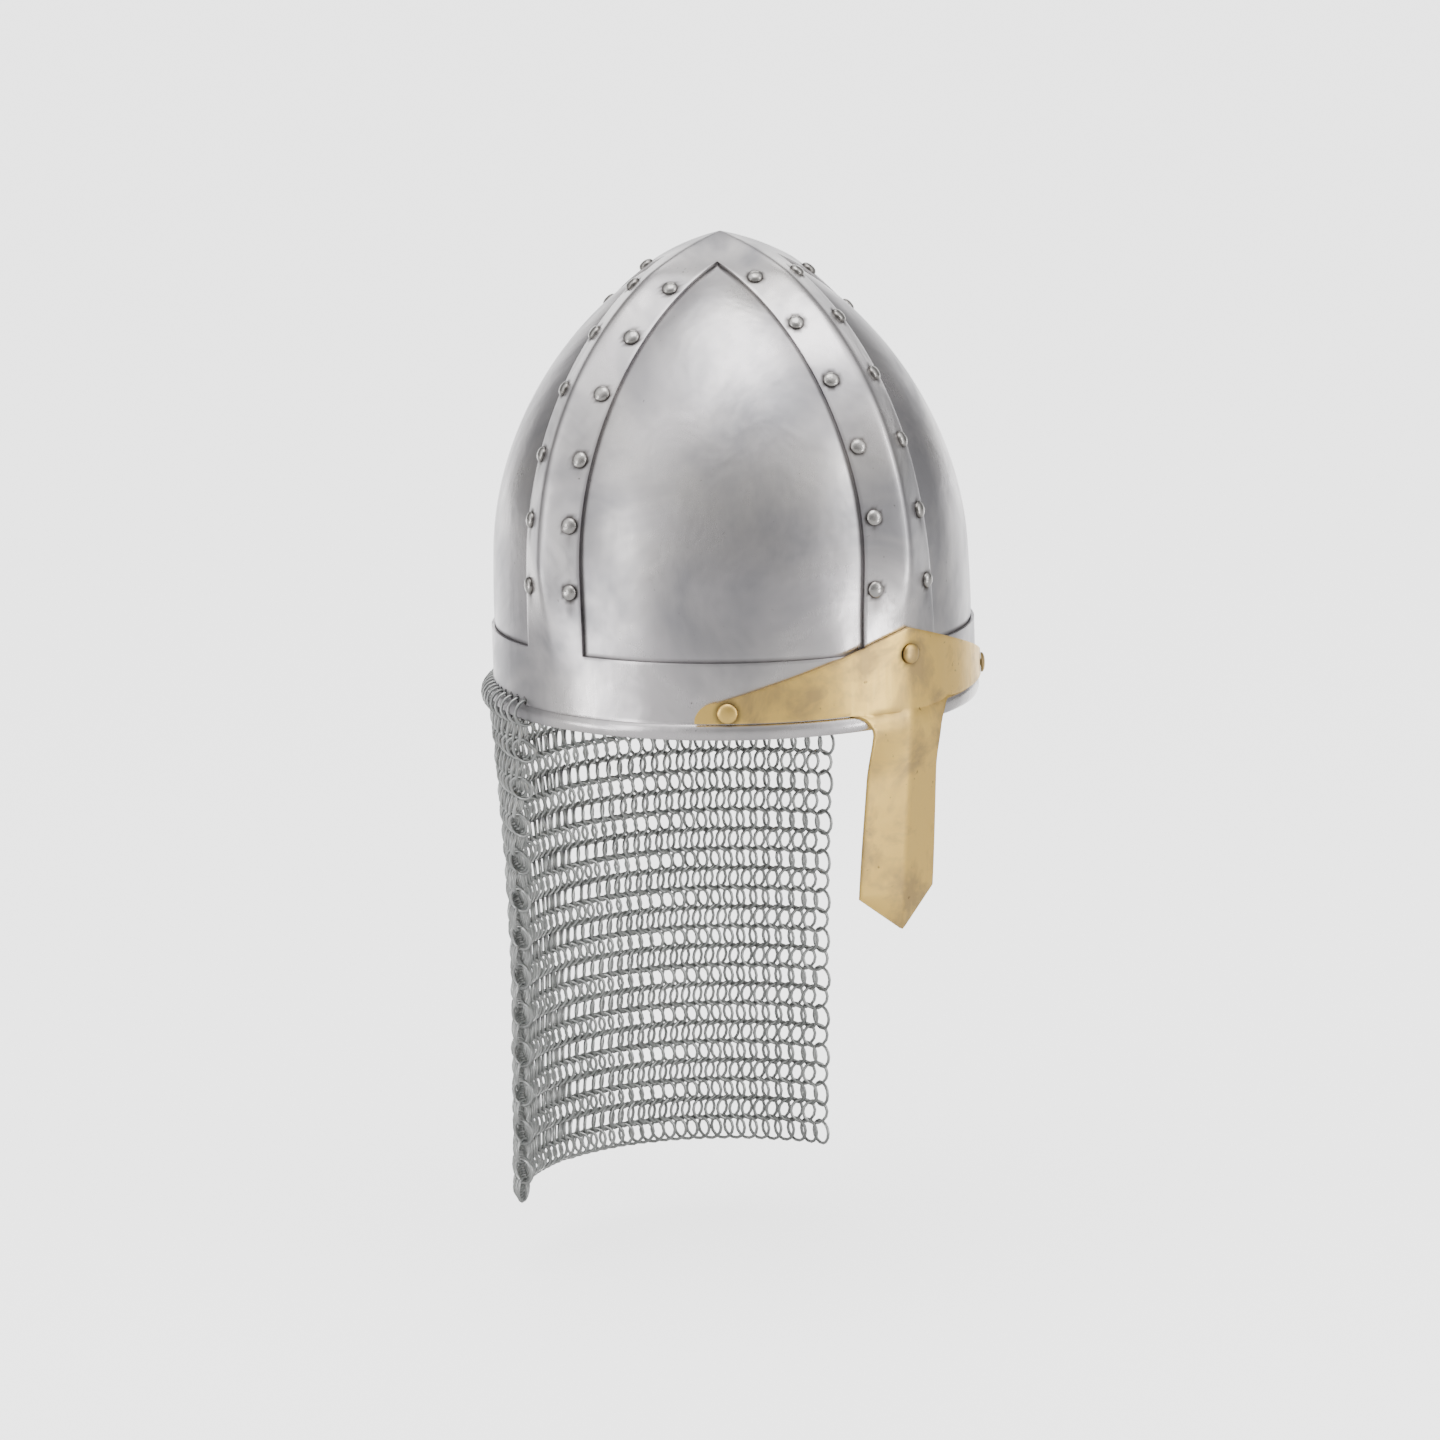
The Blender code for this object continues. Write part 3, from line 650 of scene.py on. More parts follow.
def plate_inset(c, z, across):
    """A plate's depth under the frame's face: the frame and a gap, less its swelling."""
    up = np.clip((z - c.brow_height) / (window_top(c) - c.brow_height), 0.0, 1.0)
    swelling = c.plate_bulge * np.sqrt(np.sin(math.pi * up)) * np.sin(math.pi * across)
    return c.steel + c.clearance - swelling


def plate_heights(c):
    """A plate's rows: its tuck under the brow, its window, and its tip."""
    top = window_top(c)
    tuck = np.linspace(c.brow_height - c.plate_tuck, c.brow_height, 7)
    window = arch_heights(c, c.brow_height, top, WINDOW_STEPS)
    tip = arch_heights(c, top, plate_top(c), 8)
    return np.concatenate([tuck, window[1:], tip[1:]])


def plate_top(c):
    """Height where the bands' shared edge has drawn in to a plate's tip."""
    target = c.band_half_width - c.plate_overlap + c.plate_tip
    top = window_top(c)
    meeting = edge_angles(c, top)[0]
    return halve(top, c.height, lambda z: outline(c, z, meeting)[0] > target)


def build_plate(c, quadrant, material, seam):
    """One plate: a run under the band before it, its window, and a run under the band after."""
    z = plate_heights(c)[:, None]
    share = np.linspace(0, 1, WINDOW_COLUMNS)[None, :]
    under = (c.band_half_width - c.plate_overlap) / (c.band_half_width + c.front_flare)
    strip = np.linspace(under, 1, 7)[None, :]
    inset = plate_inset(c, z, share)
    edge = c.steel + c.clearance
    parts = [
        band_surface(c, z, strip, quadrant, edge)[:, :-1],
        window_surface(c, z, share, quadrant, inset),
        band_surface(c, z, -strip[:, ::-1], (quadrant + 1) % 4, edge)[:, 1:],
    ]
    points, faces = joined([(np.concatenate(parts, axis=1), False)])
    name = "plate_" + QUADRANTS[quadrant]
    piece = new_piece(name + "_fine", points, faces, material)
    thicken(piece, c.plate_steel, -1, 0.0002)
    apply_modifiers(piece)
    # Painted contact shadow in the plate's seams along the bands and the brow
    set_attribute(piece.data, "soil", seam_shade(c, coordinates(piece.data), seam))
    finish_piece(piece, [name])


def seam_shade(c, points, seam):
    """Painted contact shadow in a window's seams: a bell away from the nearest edge of a band or of
    the brow.
    """
    z = points[:, 2]
    from_front = np.abs(points[:, 0]) - band_half_width(c, z, False)
    from_side = np.abs(points[:, 1]) - band_half_width(c, z, True)
    from_brow = z - c.brow_height
    distance = np.minimum(np.minimum(from_front, from_side), from_brow)
    return SEAM_SHADE * bell(distance, seam)


# Rivets

RIVET_SIDES = 24
BRASS_NODES = ("brass_rivet_nose", "brass_rivet_wing_left", "brass_rivet_wing_right")
# A head's upright edge, as a share of its height, and the power that fills its shoulder out
HEAD_EDGE = 0.12
HEAD_FULLNESS = 0.9
# The head sinks this far into the sheet, so that it looks seated
HEAD_SUNK = 0.0002
# The tail's height for its radius
TAIL_RISE = 0.35
# Share of a head's radius at which the darkening at its foot begins, dirt and painted shade where
# the head meets the sheet
HEAD_UNDARKENED = 0.85


def band_nodes(band):
    """Names of a band's twelve rivets."""
    return [f"rivet_{band}_{row}{n}" for row in "ab" for n in range(1, 7)]


def rivet_nodes():
    """Names of all the steel rivets."""
    return [node for band in BANDS for node in band_nodes(band)]


def seat_of(node):
    """A CAD rivet's seat and outward axis. Its axis is the one that its spread of points singles
    out, and its seat is where its widest ring of points lies along that axis."""
    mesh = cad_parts[node].data
    points = np.unique(np.round(coordinates(mesh), 6), axis=0)
    middle = points.mean(axis=0)
    spread, directions = np.linalg.eigh(np.cov((points - middle).T))
    lone = 0 if spread[1] - spread[0] > spread[2] - spread[1] else 2
    axis = directions[:, lone]
    if axis @ np.array([middle[0], middle[1], 0.0]) < 0:
        axis = -axis
    along = (points - middle) @ axis
    beside = np.linalg.norm(points - middle - np.outer(along, axis), axis=1)
    widest = along[beside > beside.max() - WELD].mean()
    return middle + axis * widest, axis


def lathe(profile, sides):
    """A closed solid of revolution about Z, from a profile of (radius, height) that runs from the
    top of its axis to the bottom."""
    angle = np.linspace(0, 2 * math.pi, sides, endpoint=False)[None, :]
    radius, height = profile[:, :1], profile[:, 1:]
    return points_of(radius * np.cos(angle), radius * np.sin(angle), height)[::-1]


def rivet_profile(radius, height, shank, tail, depth):
    """A domed head on a short upright edge, a shank, and a low domed tail."""
    turned = np.linspace(0, math.pi / 2, 9)
    out = radius * np.sin(turned) ** HEAD_FULLNESS
    dome = np.stack([out, height * (HEAD_EDGE + (1 - HEAD_EDGE) * np.cos(turned))], axis=1)
    dome[0, 0] = 0.0
    foot = np.array([[radius, -HEAD_SUNK], [shank, -HEAD_SUNK], [shank, -depth], [tail, -depth]])
    low = np.linspace(0, math.pi / 2, 5)
    end = np.stack([tail * np.cos(low), -depth - tail * TAIL_RISE * np.sin(low)], axis=1)[1:]
    end[-1, 0] = 0.0
    return np.concatenate([dome, foot, end])


def place_rivets(name, nodes, profile, material, wobble):
    """One mesh of all the rivets of a name, each turned and slightly scaled on its own."""
    random = np.random.default_rng(len(nodes))
    shape = lathe(profile, RIVET_SIDES)
    grids = []
    for node in nodes:
        seat, axis = seat_of(node)
        turned = Vector(axis).to_track_quat("Z", "Y").to_matrix()
        size = 1 + wobble * random.uniform(-1, 1, 3)
        grids.append(((shape * size) @ np.array(turned).T + seat, True))
    points, faces = joined(grids)
    piece = new_piece(name, points, faces, material)
    # Dirt and painted shade at the foot of each head
    set_attribute(piece.data, "soil", edge_dirt_and_shade(coordinates(piece.data), nodes, profile))
    finish_piece(piece, nodes)


def edge_dirt_and_shade(points, nodes, profile):
    """Dirt and painted shade at the foot of each head, rising evenly from its undarkened share to
    its widest ring.
    """
    radius = profile[:, 0].max()
    soil = np.zeros(len(points))
    for node in nodes:
        seat, axis = seat_of(node)
        apart = points - seat
        near = np.linalg.norm(apart, axis=1) < 2 * radius
        beside = np.linalg.norm(apart - np.outer(apart @ axis, axis), axis=1)
        soil[near] = np.clip((beside[near] / radius - HEAD_UNDARKENED) / (1 - HEAD_UNDARKENED), 0.0, 1.0)
    return HEAD_DIRT_AND_SHADE * soil


# Nasal guard


def brow_surface(c, g, along, z):
    """Points off the brow's front at distances along it from the middle.

    The brow's ellipse with the front band's crease on it, and off that, along the ellipse's
    normal, a gap and a lift that falls evenly from the ridge and from the nose rivet up.
    """
    wide, long = c.half_width, c.half_length
    angle = along / ((wide + long) / 2)
    x, y = wide * np.sin(angle), long * np.cos(angle)
    edge_offset, _ = outline(c, z, band_edges(c, z)[0])
    _, creased = band_section(c, z, np.clip(x / edge_offset, -1.0, 1.0), False)
    y = np.where(np.abs(x) < edge_offset, creased, y)
    normal = unit(points_of(x / wide**2, -y / long**2, 0.0 * z))
    lift = g.ridge_lift * np.maximum(0.0, 1 - np.abs(along) / g.ridge_reach)
    lift = lift * np.clip((g.peak_height - z) / (g.peak_height - g.nose_rivet), 0.0, 1.0)
    return points_of(x, -y, z) + normal * (c.clearance + lift)[..., None]


def wing_top(g, along):
    """Height of the guard's upper edge: straight from the peak, then a quarter of an ellipse."""
    along = np.abs(along)
    straight = g.wing_length - g.wing_round
    line = g.peak_height + (g.wing_end - g.peak_height) * along / straight
    share = np.clip((along - straight) / (g.wing_round * g.wing_stretch), 0.0, 1.0)
    curve = g.lower_edge + (g.wing_end - g.lower_edge) * np.sqrt(1 - share**2)
    return np.where(along <= straight, line, curve)


def bar_half_width(g, z):
    """Half the bar's width: waisted under the brow, with an elliptic fillet into the wings."""
    width = g.bar_half_width - g.bar_waist * (1 - smooth(-z / g.corner_depth))
    into = np.clip((z - g.lower_edge + g.fillet_height) / g.fillet_height, 0.0, 1.0)
    return width + g.fillet_width * (1 - np.sqrt(np.maximum(1 - into**2, 0.0)))


def past_roll(c, z):
    """How much of the rolled rim's swelling the bar has to clear at a height."""
    swelling = np.sin(math.pi * np.clip(z / c.roll_height, 0.0, 1.0))
    return np.where(z <= c.roll_height / 2, 1.0, swelling)


def bar_surface(c, g, across, z):
    """Points of the bar's back face: two flat faces from the ridge to the edges, out over the
    rolled rim and then set back as they go down."""
    width = bar_half_width(g, z)
    down = np.maximum(-z, 0.0) / g.tip_depth
    lower = np.full_like(width, g.lower_edge)
    ridge = brow_surface(c, g, 0.0 * width, lower)[..., 1]
    edge = brow_surface(c, g, width, lower)[..., 1]
    ridge_y = ridge - g.ridge_over_roll * past_roll(c, z)
    fold = edge - g.edge_over_roll * past_roll(c, z) - ridge_y
    fold = fold + (g.fold - fold) * smooth(g.fold_rate * down)
    return points_of(width * across, ridge_y + g.setback * down + fold * np.abs(across), z)


def guard_columns(c, g):
    """Distances along the brow from one wing's end to the other, the bar's columns among them."""
    top = float(bar_half_width(g, np.array(g.lower_edge)))
    straight = g.wing_length - g.wing_round
    bar = np.linspace(0, top, 15)
    wing = np.linspace(top, straight, 40)[1:]
    turned = np.linspace(0, math.pi / 2, 14)[1:]
    half = np.concatenate([bar, wing, straight + g.wing_round * np.sin(turned)])
    return np.concatenate([-half[:0:-1], half]), len(bar)


def bar_rows(g):
    """The bar's heights, close together in the fillet."""
    turned = np.linspace(0, math.pi / 2, 13)[1:]
    fillet = g.lower_edge - g.fillet_height * np.sin(turned)
    low = np.linspace(g.lower_edge - g.fillet_height, -g.corner_depth * 0.97, 26)[1:]
    return np.concatenate([fillet, low])


def guard_dirt_and_shade(points, radius, f):
    """Dirt and painted shadow round the guard's rivets: a bell away from each head's edge."""
    soil = np.zeros(len(points))
    for node in BRASS_NODES:
        distance = np.linalg.norm(points - seat_of(node)[0], axis=1)
        halo = GUARD_DIRT_AND_SHADE * bell(np.maximum(distance - radius, 0.0), f.halo_brass)
        soil = np.maximum(soil, halo)
    return soil


def build_guard(h, material):
    """Both wings and the bar as one sheet."""
    c, g = h.crown, h.guard
    along, bar = guard_columns(c, g)
    share = np.linspace(0, 1, 15)[:, None]
    z = g.lower_edge + (wing_top(g, along)[None, :] - g.lower_edge) * share
    wings = brow_surface(c, g, np.broadcast_to(along, z.shape), z)
    across = np.linspace(-1, 1, 2 * bar - 1)[None, :]
    rows = bar_rows(g)[::-1, None]
    down = bar_surface(c, g, across, rows + 0.0 * across)
    tip_z = -g.tip_depth + (g.tip_depth - g.corner_depth) * np.abs(across)
    tip = bar_surface(c, g, across, tip_z)
    tip[..., 0] = g.bar_half_width * across
    middle = len(along) // 2
    top = wings[:1, middle - bar + 1 : middle + bar]
    sheet = np.concatenate([tip, down, top])
    points, faces = joined([(wings, False), (sheet, False)])
    piece = new_piece("nasal_guard_fine", points, faces, material)
    thicken(piece, g.brass, 1, 0.0004)
    apply_modifiers(piece)
    # Dirt with painted shadow round the brass rivets
    soil = guard_dirt_and_shade(coordinates(piece.data), h.rivets.brass_radius, h.finish)
    set_attribute(piece.data, "soil", soil)
    finish_piece(piece, ["nasal_guard"], sharp=30)


# Mail

# A ring's segments round it and sides round its wire
RING_SEGMENTS = 14
RING_SIDES = 5
# How far the rings' planes stray from the rule, as spreads of a bell curve
LEAN_STRAY = math.radians(2.2)
TILT_STRAY = math.radians(2.0)
# How far a hanging ring's middle lies inside the wall's face
HANG_INSET = 0.0004


def mail_surface(c, m, share, depth):
    """Points in the middle of the curtain. As it hangs it gathers in, drifts back, and draws its
    right end back, by the square of the share along it."""
    gathered = np.sin(np.clip(depth / m.gather_depth, 0.0, 1.0) * math.pi / 2)
    angle = m.start_angle + (m.end_angle - m.start_angle) * share
    rim, _ = rim_points(c, angle - m.end_swing * gathered * share**2, 0.0, c.steel / 2)
    narrow = 1 - m.gather * gathered
    back = m.drift * depth / m.drift_depth
    return points_of(rim[..., 0] * narrow, rim[..., 1] * narrow + back, -depth)


def ring_places(m):
    """Share along the curtain and depth of each ring, row by row, and the row's number.

    Odd rows lie half a ring nearer the wearer's left. The first row and the rows' pitch go evenly
    from one end to the other.
    """
    row = np.arange(1, m.rows + 1)[:, None]
    column = np.arange(m.columns)[None, :]
    share = (column + 0.5 - 0.5 * (row % 2)) / m.columns
    first = m.first_left + (m.first_right - m.first_left) * share
    pitch = m.pitch_left + (m.pitch_right - m.pitch_left) * share
    depth = first + (row - 1) * pitch
    return share.ravel(), depth.ravel(), (row + 0 * column).ravel()


def ring_frames(c, m):
    """Middle, first axis, second axis and normal of each ring, in the curtain and at the rim.

    A ring in the curtain stands upright and its plane is turned out of the curtain, one way in
    odd rows and the other way in even rows, so that each ring passes through four others. A
    hanging ring's plane is square to the rim, and goes through its hole and round the rim.
    """
    random = np.random.default_rng(11)
    share, depth, row = ring_places(m)
    step = 1e-4
    middle = mail_surface(c, m, share, depth)
    on, back = (mail_surface(c, m, share + way * step, depth) for way in (1, -1))
    above, below = (mail_surface(c, m, share, depth - way * step) for way in (1, -1))
    along, up = unit(on - back), unit(above - below)
    out = unit(np.cross(along, up))
    sign = np.where(row % 2 == 1, 1.0, -1.0)
    lean = sign * (m.lean + m.end_lean * share**4) + random.normal(0, LEAN_STRAY, len(share))
    first = along * np.cos(lean)[:, None] + out * np.sin(lean)[:, None]
    tilt = random.normal(0, TILT_STRAY, len(share))[:, None]
    second = unit(up + out * tilt)
    normal = unit(np.cross(first, second))
    second = np.cross(normal, first)
    holes, outwards = mail_hole_points(c, m)
    hang = holes - np.array([0, 0, m.ring_radius]) + outwards * (c.steel / 2 - HANG_INSET)
    rise = np.broadcast_to([0.0, 0.0, 1.0], outwards.shape)
    hanging = (hang, outwards, rise, np.cross(outwards, rise))
    return [np.concatenate(pair) for pair in zip((middle, first, second, normal), hanging)]


def build_mail(c, m, material):
    """Every ring as a torus: middle + (R + r cos v)(cos u first + sin u second) + r sin v normal.

    The ring attribute gives each ring one number of its own, for its shade.
    """
    middle, first, second, normal = (a[:, None, None, :] for a in ring_frames(c, m))
    u = np.linspace(0, 2 * math.pi, RING_SEGMENTS, endpoint=False)[None, :, None, None]
    v = np.linspace(0, 2 * math.pi, RING_SIDES, endpoint=False)[None, None, :, None]
    out = m.ring_radius + m.wire_radius * np.cos(v)
    side = m.wire_radius * np.sin(v) * normal
    points = middle + out * (np.cos(u) * first + np.sin(u) * second) + side
    rings, each = len(points), RING_SEGMENTS * RING_SIDES
    segment = np.arange(RING_SEGMENTS)[:, None] * RING_SIDES
    next_segment = (segment + RING_SIDES) % each
    j = np.arange(RING_SIDES)[None, :]
    k = (j + 1) % RING_SIDES
    quads = [segment + j, next_segment + j, next_segment + k, segment + k]
    ring = np.stack(quads, axis=-1).reshape(-1, 4)
    faces = (ring[None] + (np.arange(rings) * each)[:, None, None]).reshape(-1, 4)
    piece = new_piece("mail_rings", points.reshape(-1, 3), faces, material, weld=False)
    shades = np.random.default_rng(5).uniform(0, 1, rings)
    set_attribute(piece.data, "ring", np.repeat(shades, each))
    finish_piece(piece, ["mail_curtain"], sharp=180)


# Materials


def new_material(name):
    """A new material, its node tree and its shader."""
    material = bpy.data.materials.new(name)
    material.use_nodes = True
    tree = material.node_tree
    return material, tree, tree.nodes["Principled BSDF"]


def grey(tone):
    return (tone, tone, tone)


def put(socket, value):
    """Links a socket to another, or gives it a number, a direction or a colour."""
    if isinstance(value, bpy.types.NodeSocket):
        socket.id_data.links.new(value, socket)
    elif isinstance(value, (int, float)):
        socket.default_value = value
    else:
        socket.default_value = (*value, 1)[: len(socket.default_value)]


def add_node(tree, kind, inputs=(), **settings):
    """A shader node with its settings, and its inputs put by name or number."""
    node = tree.nodes.new("ShaderNode" + kind)
    for name, value in settings.items():
        setattr(node, name, value)
    for name, value in dict(inputs).items():
        put(node.inputs[name], value)
    return node


def noise(tree, vector, scale, detail=4.0, roughness=0.55, distortion=0.0):
    """Noise of so many lumps to the metre, from about 0.3 to 0.7."""
    inputs = {
        "Vector": vector,
        "Scale": scale,
        "Detail": detail,
        "Roughness": roughness,
        "Distortion": distortion,
    }
    return add_node(tree, "TexNoise", inputs).outputs["Fac"]


def object_vector(tree, scale=(1, 1, 1)):
    """Places on the piece in metres, stretched along an axis where its scale is less than 1."""
    source = add_node(tree, "TexCoord").outputs["Object"]
    return add_node(tree, "Mapping", {"Vector": source, "Scale": scale}).outputs["Vector"]


def spread(tree, value, low, high, to_low, to_high):
    """A value's range stretched to another range, and held at its ends."""
    inputs = {
        "Value": value,
        "From Min": low,
        "From Max": high,
        "To Min": to_low,
        "To Max": to_high,
    }
    return add_node(tree, "MapRange", inputs).outputs["Result"]


def blend(tree, share, first, second, way="MIX"):
    """A mix of two colours."""
    inputs = {0: share, 6: first, 7: second}
    return add_node(tree, "Mix", inputs, data_type="RGBA", blend_type=way).outputs[2]


def maths(tree, operation, first, second):
    """The result of an operation on two numbers."""
    return add_node(tree, "Math", {0: first, 1: second}, operation=operation).outputs["Value"]


def facing(tree, vector, direction):
    """The dot product of a vector and a fixed direction."""
    inputs = {0: vector, 1: direction}
    return add_node(tree, "VectorMath", inputs, operation="DOT_PRODUCT").outputs["Value"]


def attribute(tree, name):
    """A number that the piece carries at each point."""
    return add_node(tree, "Attribute", attribute_name=name).outputs["Fac"]


def seen_by_eye(tree):
    """1 where the camera sees a surface straight, and 0 in reflections and for light."""
    return add_node(tree, "LightPath").outputs["Is Camera Ray"]


def bump(tree, height, strength, distance, below=None):
    """Bumps of a height, over the bumps below them if there are any."""
    inputs = {"Height": height, "Strength": strength, "Distance": distance}
    if below:
        inputs["Normal"] = below
    return add_node(tree, "Bump", inputs).outputs["Normal"]


def finish_metal(shader, base, gloss, bumps=None):
    """Gives a metal's shader its colour, its roughness and its bumps."""
    put(shader.inputs["Metallic"], 1.0)
    put(shader.inputs["Base Color"], base)
    put(shader.inputs["Roughness"], gloss)
    if bumps:
        put(shader.inputs["Normal"], bumps)


def steel_material(f, name, polish):
    """Polished steel: clouds of warmer and cooler tone, uneven gloss, slight hammer waves, fine
    rubbing marks, a few pits, and darkening where the piece's attribute says: dirt with painted
    shadow round rivets, and painted contact shadow in seams."""
    material, tree, shader = new_material(name)
    vector = object_vector(tree)
    clouds = noise(tree, vector, scale=16, roughness=0.56, distortion=0.5)
    flattened = object_vector(tree, (1, 1, 1.6))
    tints = noise(tree, flattened, scale=11, detail=3, roughness=0.5, distortion=0.5)
    base = blend(tree, spread(tree, tints, 0.38, 0.62, 0, 0.6), polish, f.steel_warm)
    base = blend(tree, spread(tree, clouds, 0.42, 0.62, 0, 0.85), base, f.steel_dull)
    pits = noise(tree, vector, scale=330, detail=2, roughness=0.5)
    base = blend(tree, spread(tree, pits, 0.74, 0.80, 0, 0.6), base, f.soil)
    # Darkening from the piece's attribute: dirt and painted shadow round rivets, painted contact
    # shadow in the seams; it also roughens the gloss
    soil = attribute(tree, "soil")
    base = blend(tree, soil, base, f.soil)
    rubbed = noise(tree, object_vector(tree, (1, 1, 0.12)), scale=900, detail=3, roughness=0.6)
    gloss = spread(tree, clouds, 0.35, 0.65, 0.24, 0.38)
    gloss = maths(tree, "ADD", gloss, spread(tree, rubbed, 0.3, 0.7, -0.02, 0.02))
    gloss = maths(tree, "ADD", gloss, maths(tree, "MULTIPLY", soil, 0.4))
    waves = noise(tree, vector, scale=30, detail=3, roughness=0.5, distortion=0.4)
    waves = bump(tree, waves, strength=0.35, distance=0.002)
    marks = bump(tree, rubbed, strength=0.04, distance=0.0001, below=waves)
    finish_metal(shader, base, gloss, marks)
    return material


def rivet_material(f):
    """Bright steel heads with a little dark dirt in their hammered faces."""
    material, tree, shader = new_material("rivet steel")
    marks = noise(tree, object_vector(tree), scale=420, roughness=0.6)
    base = blend(tree, spread(tree, marks, 0.45, 0.75, 0, 0.5), f.rivet, f.rivet_dull)
    # Dirt and painted shade at the foot of each head, from the piece's attribute
    base = blend(tree, attribute(tree, "soil"), base, f.soil)
    gloss = spread(tree, marks, 0.3, 0.7, 0.16, 0.30)
    finish_metal(shader, base, gloss, bump(tree, marks, strength=0.25, distance=0.0006))
    return material


def brass_material(f):
    """Satin brass: duller clouds, small pits and fine scratches."""
    material, tree, shader = new_material("brass")
    vector = object_vector(tree)
    clouds = noise(tree, vector, scale=40, roughness=0.6, distortion=0.4)
    base = blend(tree, spread(tree, clouds, 0.46, 0.61, 0, 0.95), f.brass, f.brass_dark)
    pits = noise(tree, vector, scale=260, detail=2, roughness=0.5)
    base = blend(tree, spread(tree, pits, 0.70, 0.78, 0, 0.7), base, f.brass_pit)
    # Dirt and painted shadow round the brass rivets, from the piece's attribute
    base = blend(tree, attribute(tree, "soil"), base, f.soil)
    scratches = noise(tree, object_vector(tree, (1, 1, 0.06)), scale=700, detail=3, roughness=0.6)
    gloss = spread(tree, clouds, 0.3, 0.7, 0.30, 0.44)
    gloss = maths(tree, "ADD", gloss, spread(tree, scratches, 0.3, 0.7, -0.03, 0.05))
    dents = noise(tree, vector, scale=95, detail=2, roughness=0.5)
    dents = bump(tree, dents, strength=0.14, distance=0.0012)
    marks = bump(tree, scratches, strength=0.06, distance=0.0002, below=dents)
    finish_metal(shader, base, gloss, marks)
    return material


def wire_material(f):
    """Dull grey wire, each ring a little lighter or darker."""
    material, tree, shader = new_material("mail wire")
    ring = attribute(tree, "ring")
    base = blend(tree, spread(tree, ring, 0, 1, 0, 0.6), f.wire, f.wire_dark)
    grime = noise(tree, object_vector(tree), scale=300, detail=3, roughness=0.6)
    base = blend(tree, spread(tree, grime, 0.5, 0.8, 0, 0.4), base, f.wire_grime)
    finish_metal(shader, base, spread(tree, ring, 0, 1, 0.34, 0.50))
    return material


def floor_material(s):
    """A pale floor that glows, to the eye all over so that it stays plain, and to the metal only
    from behind the helmet, where a lit backdrop would stand. From below it is clear."""
    material, tree, shader = new_material("floor")
    vector = object_vector(tree)
    tone = noise(tree, vector, scale=3, detail=2, roughness=0.5)
    put(shader.inputs["Base Color"], blend(tree, tone, *FLOOR_TONES))
    put(shader.inputs["Roughness"], 0.9)
    put(shader.inputs["Emission Color"], grey(1.0))
    away = add_node(tree, "VectorMath", {0: vector}, operation="NORMALIZE").outputs["Vector"]
    behind = facing(tree, away, -orbit_direction(s.azimuth, 0.0))
    lit = spread(tree, behind, math.cos(s.backdrop_edge), math.cos(s.backdrop_full), 0, 1)
    glow = maths(tree, "MAXIMUM", seen_by_eye(tree), lit)
    put(shader.inputs["Emission Strength"], maths(tree, "MULTIPLY", glow, s.floor_glow))
    below = add_node(tree, "NewGeometry").outputs["Backfacing"]
    clear = add_node(tree, "BsdfTransparent").outputs["BSDF"]
    sides = add_node(tree, "MixShader", {0: below, 1: shader.outputs["BSDF"], 2: clear})
    put(tree.nodes["Material Output"].inputs["Surface"], sides.outputs["Shader"])
    return material


# Stage

# The point that the camera is aimed at
CAMERA_AIM = (-0.0128, -0.0042, -0.0105)
FLOOR_TONES = (grey(0.62), grey(0.65))
# Brightness of the room at angles in degrees from the camera's direction
ROOM_TONES = (
    (0, 0.13),
    (30, 0.19),
    (60, 0.54),
    (85, 0.30),
    (105, 0.10),
    (140, 0.09),
    (160, 0.80),
    (180, 1.0),
)
# Its share of that near the level and overhead
ROOM_SHARES = (grey(0.8), grey(1.0))
ROOM_STRENGTH = 4.0
# The room's tone to the eye, as pale as the floor
BACKDROP_TONE = grey(0.7)
LIGHTS = (
    # name, turn to the camera's right in degrees, elevation, distance, width, height, power
    ("key", -57, 2, 1.8, 0.30, 1.0, 3.6),
    ("low_key", -72, -8, 0.9, 0.26, 0.16, 0.8),
    ("fill", 60, 16, 2.0, 0.35, 1.3, 7.5),
    ("low_fill", 54, -9, 0.9, 0.20, 0.14, 0.8),
    ("top", 0, 76, 1.6, 1.0, 1.0, 11),
    ("back_top", 180, 60, 1.6, 0.9, 0.5, 3),
)


def orbit_direction(azimuth, elevation):
    """From the helmet outwards, turned from the front towards the wearer's right and raised."""
    level = math.cos(elevation)
    return Vector((-math.sin(azimuth) * level, -math.cos(azimuth) * level, math.sin(elevation)))


def build_floor(s):
    """A level disc of rings of points, some way under the mail."""
    angle = np.linspace(0, 2 * math.pi, 97)[None, :-1]
    radius = np.linspace(0, s.floor_radius, 7)[:, None]
    lowest = CAD_BOX[0][2] - s.floor_drop
    grid = points_of(radius * np.cos(angle), radius * np.sin(angle), lowest)
    points, faces = joined([(grid, True)])
    floor = new_piece("floor", points, faces[:, ::-1], floor_material(s))


def build_camera(s):
    """A camera on its orbit, aimed a little off the orbit's middle and rolled about its axis."""
    place = Vector((0, 0, s.orbit_height)) + orbit_direction(s.azimuth, s.elevation) * s.distance
    forward = (Vector(CAMERA_AIM) - place).normalized()
    right = forward.cross(Vector((0, 0, 1))).normalized()
    up = right.cross(forward)
    rolled_right = right * math.cos(s.roll) + up * math.sin(s.roll)
    rolled_up = up * math.cos(s.roll) - right * math.sin(s.roll)
    turned = Matrix((rolled_right, rolled_up, -forward)).transposed().to_4x4()
    data = bpy.data.cameras.new("camera")
    data.lens = s.lens
    data.sensor_width = 36.0
    data.clip_end = 50.0
    camera = add_object("camera", data)
    camera.matrix_world = Matrix.Translation(place) @ turned
    bpy.context.scene.camera = camera


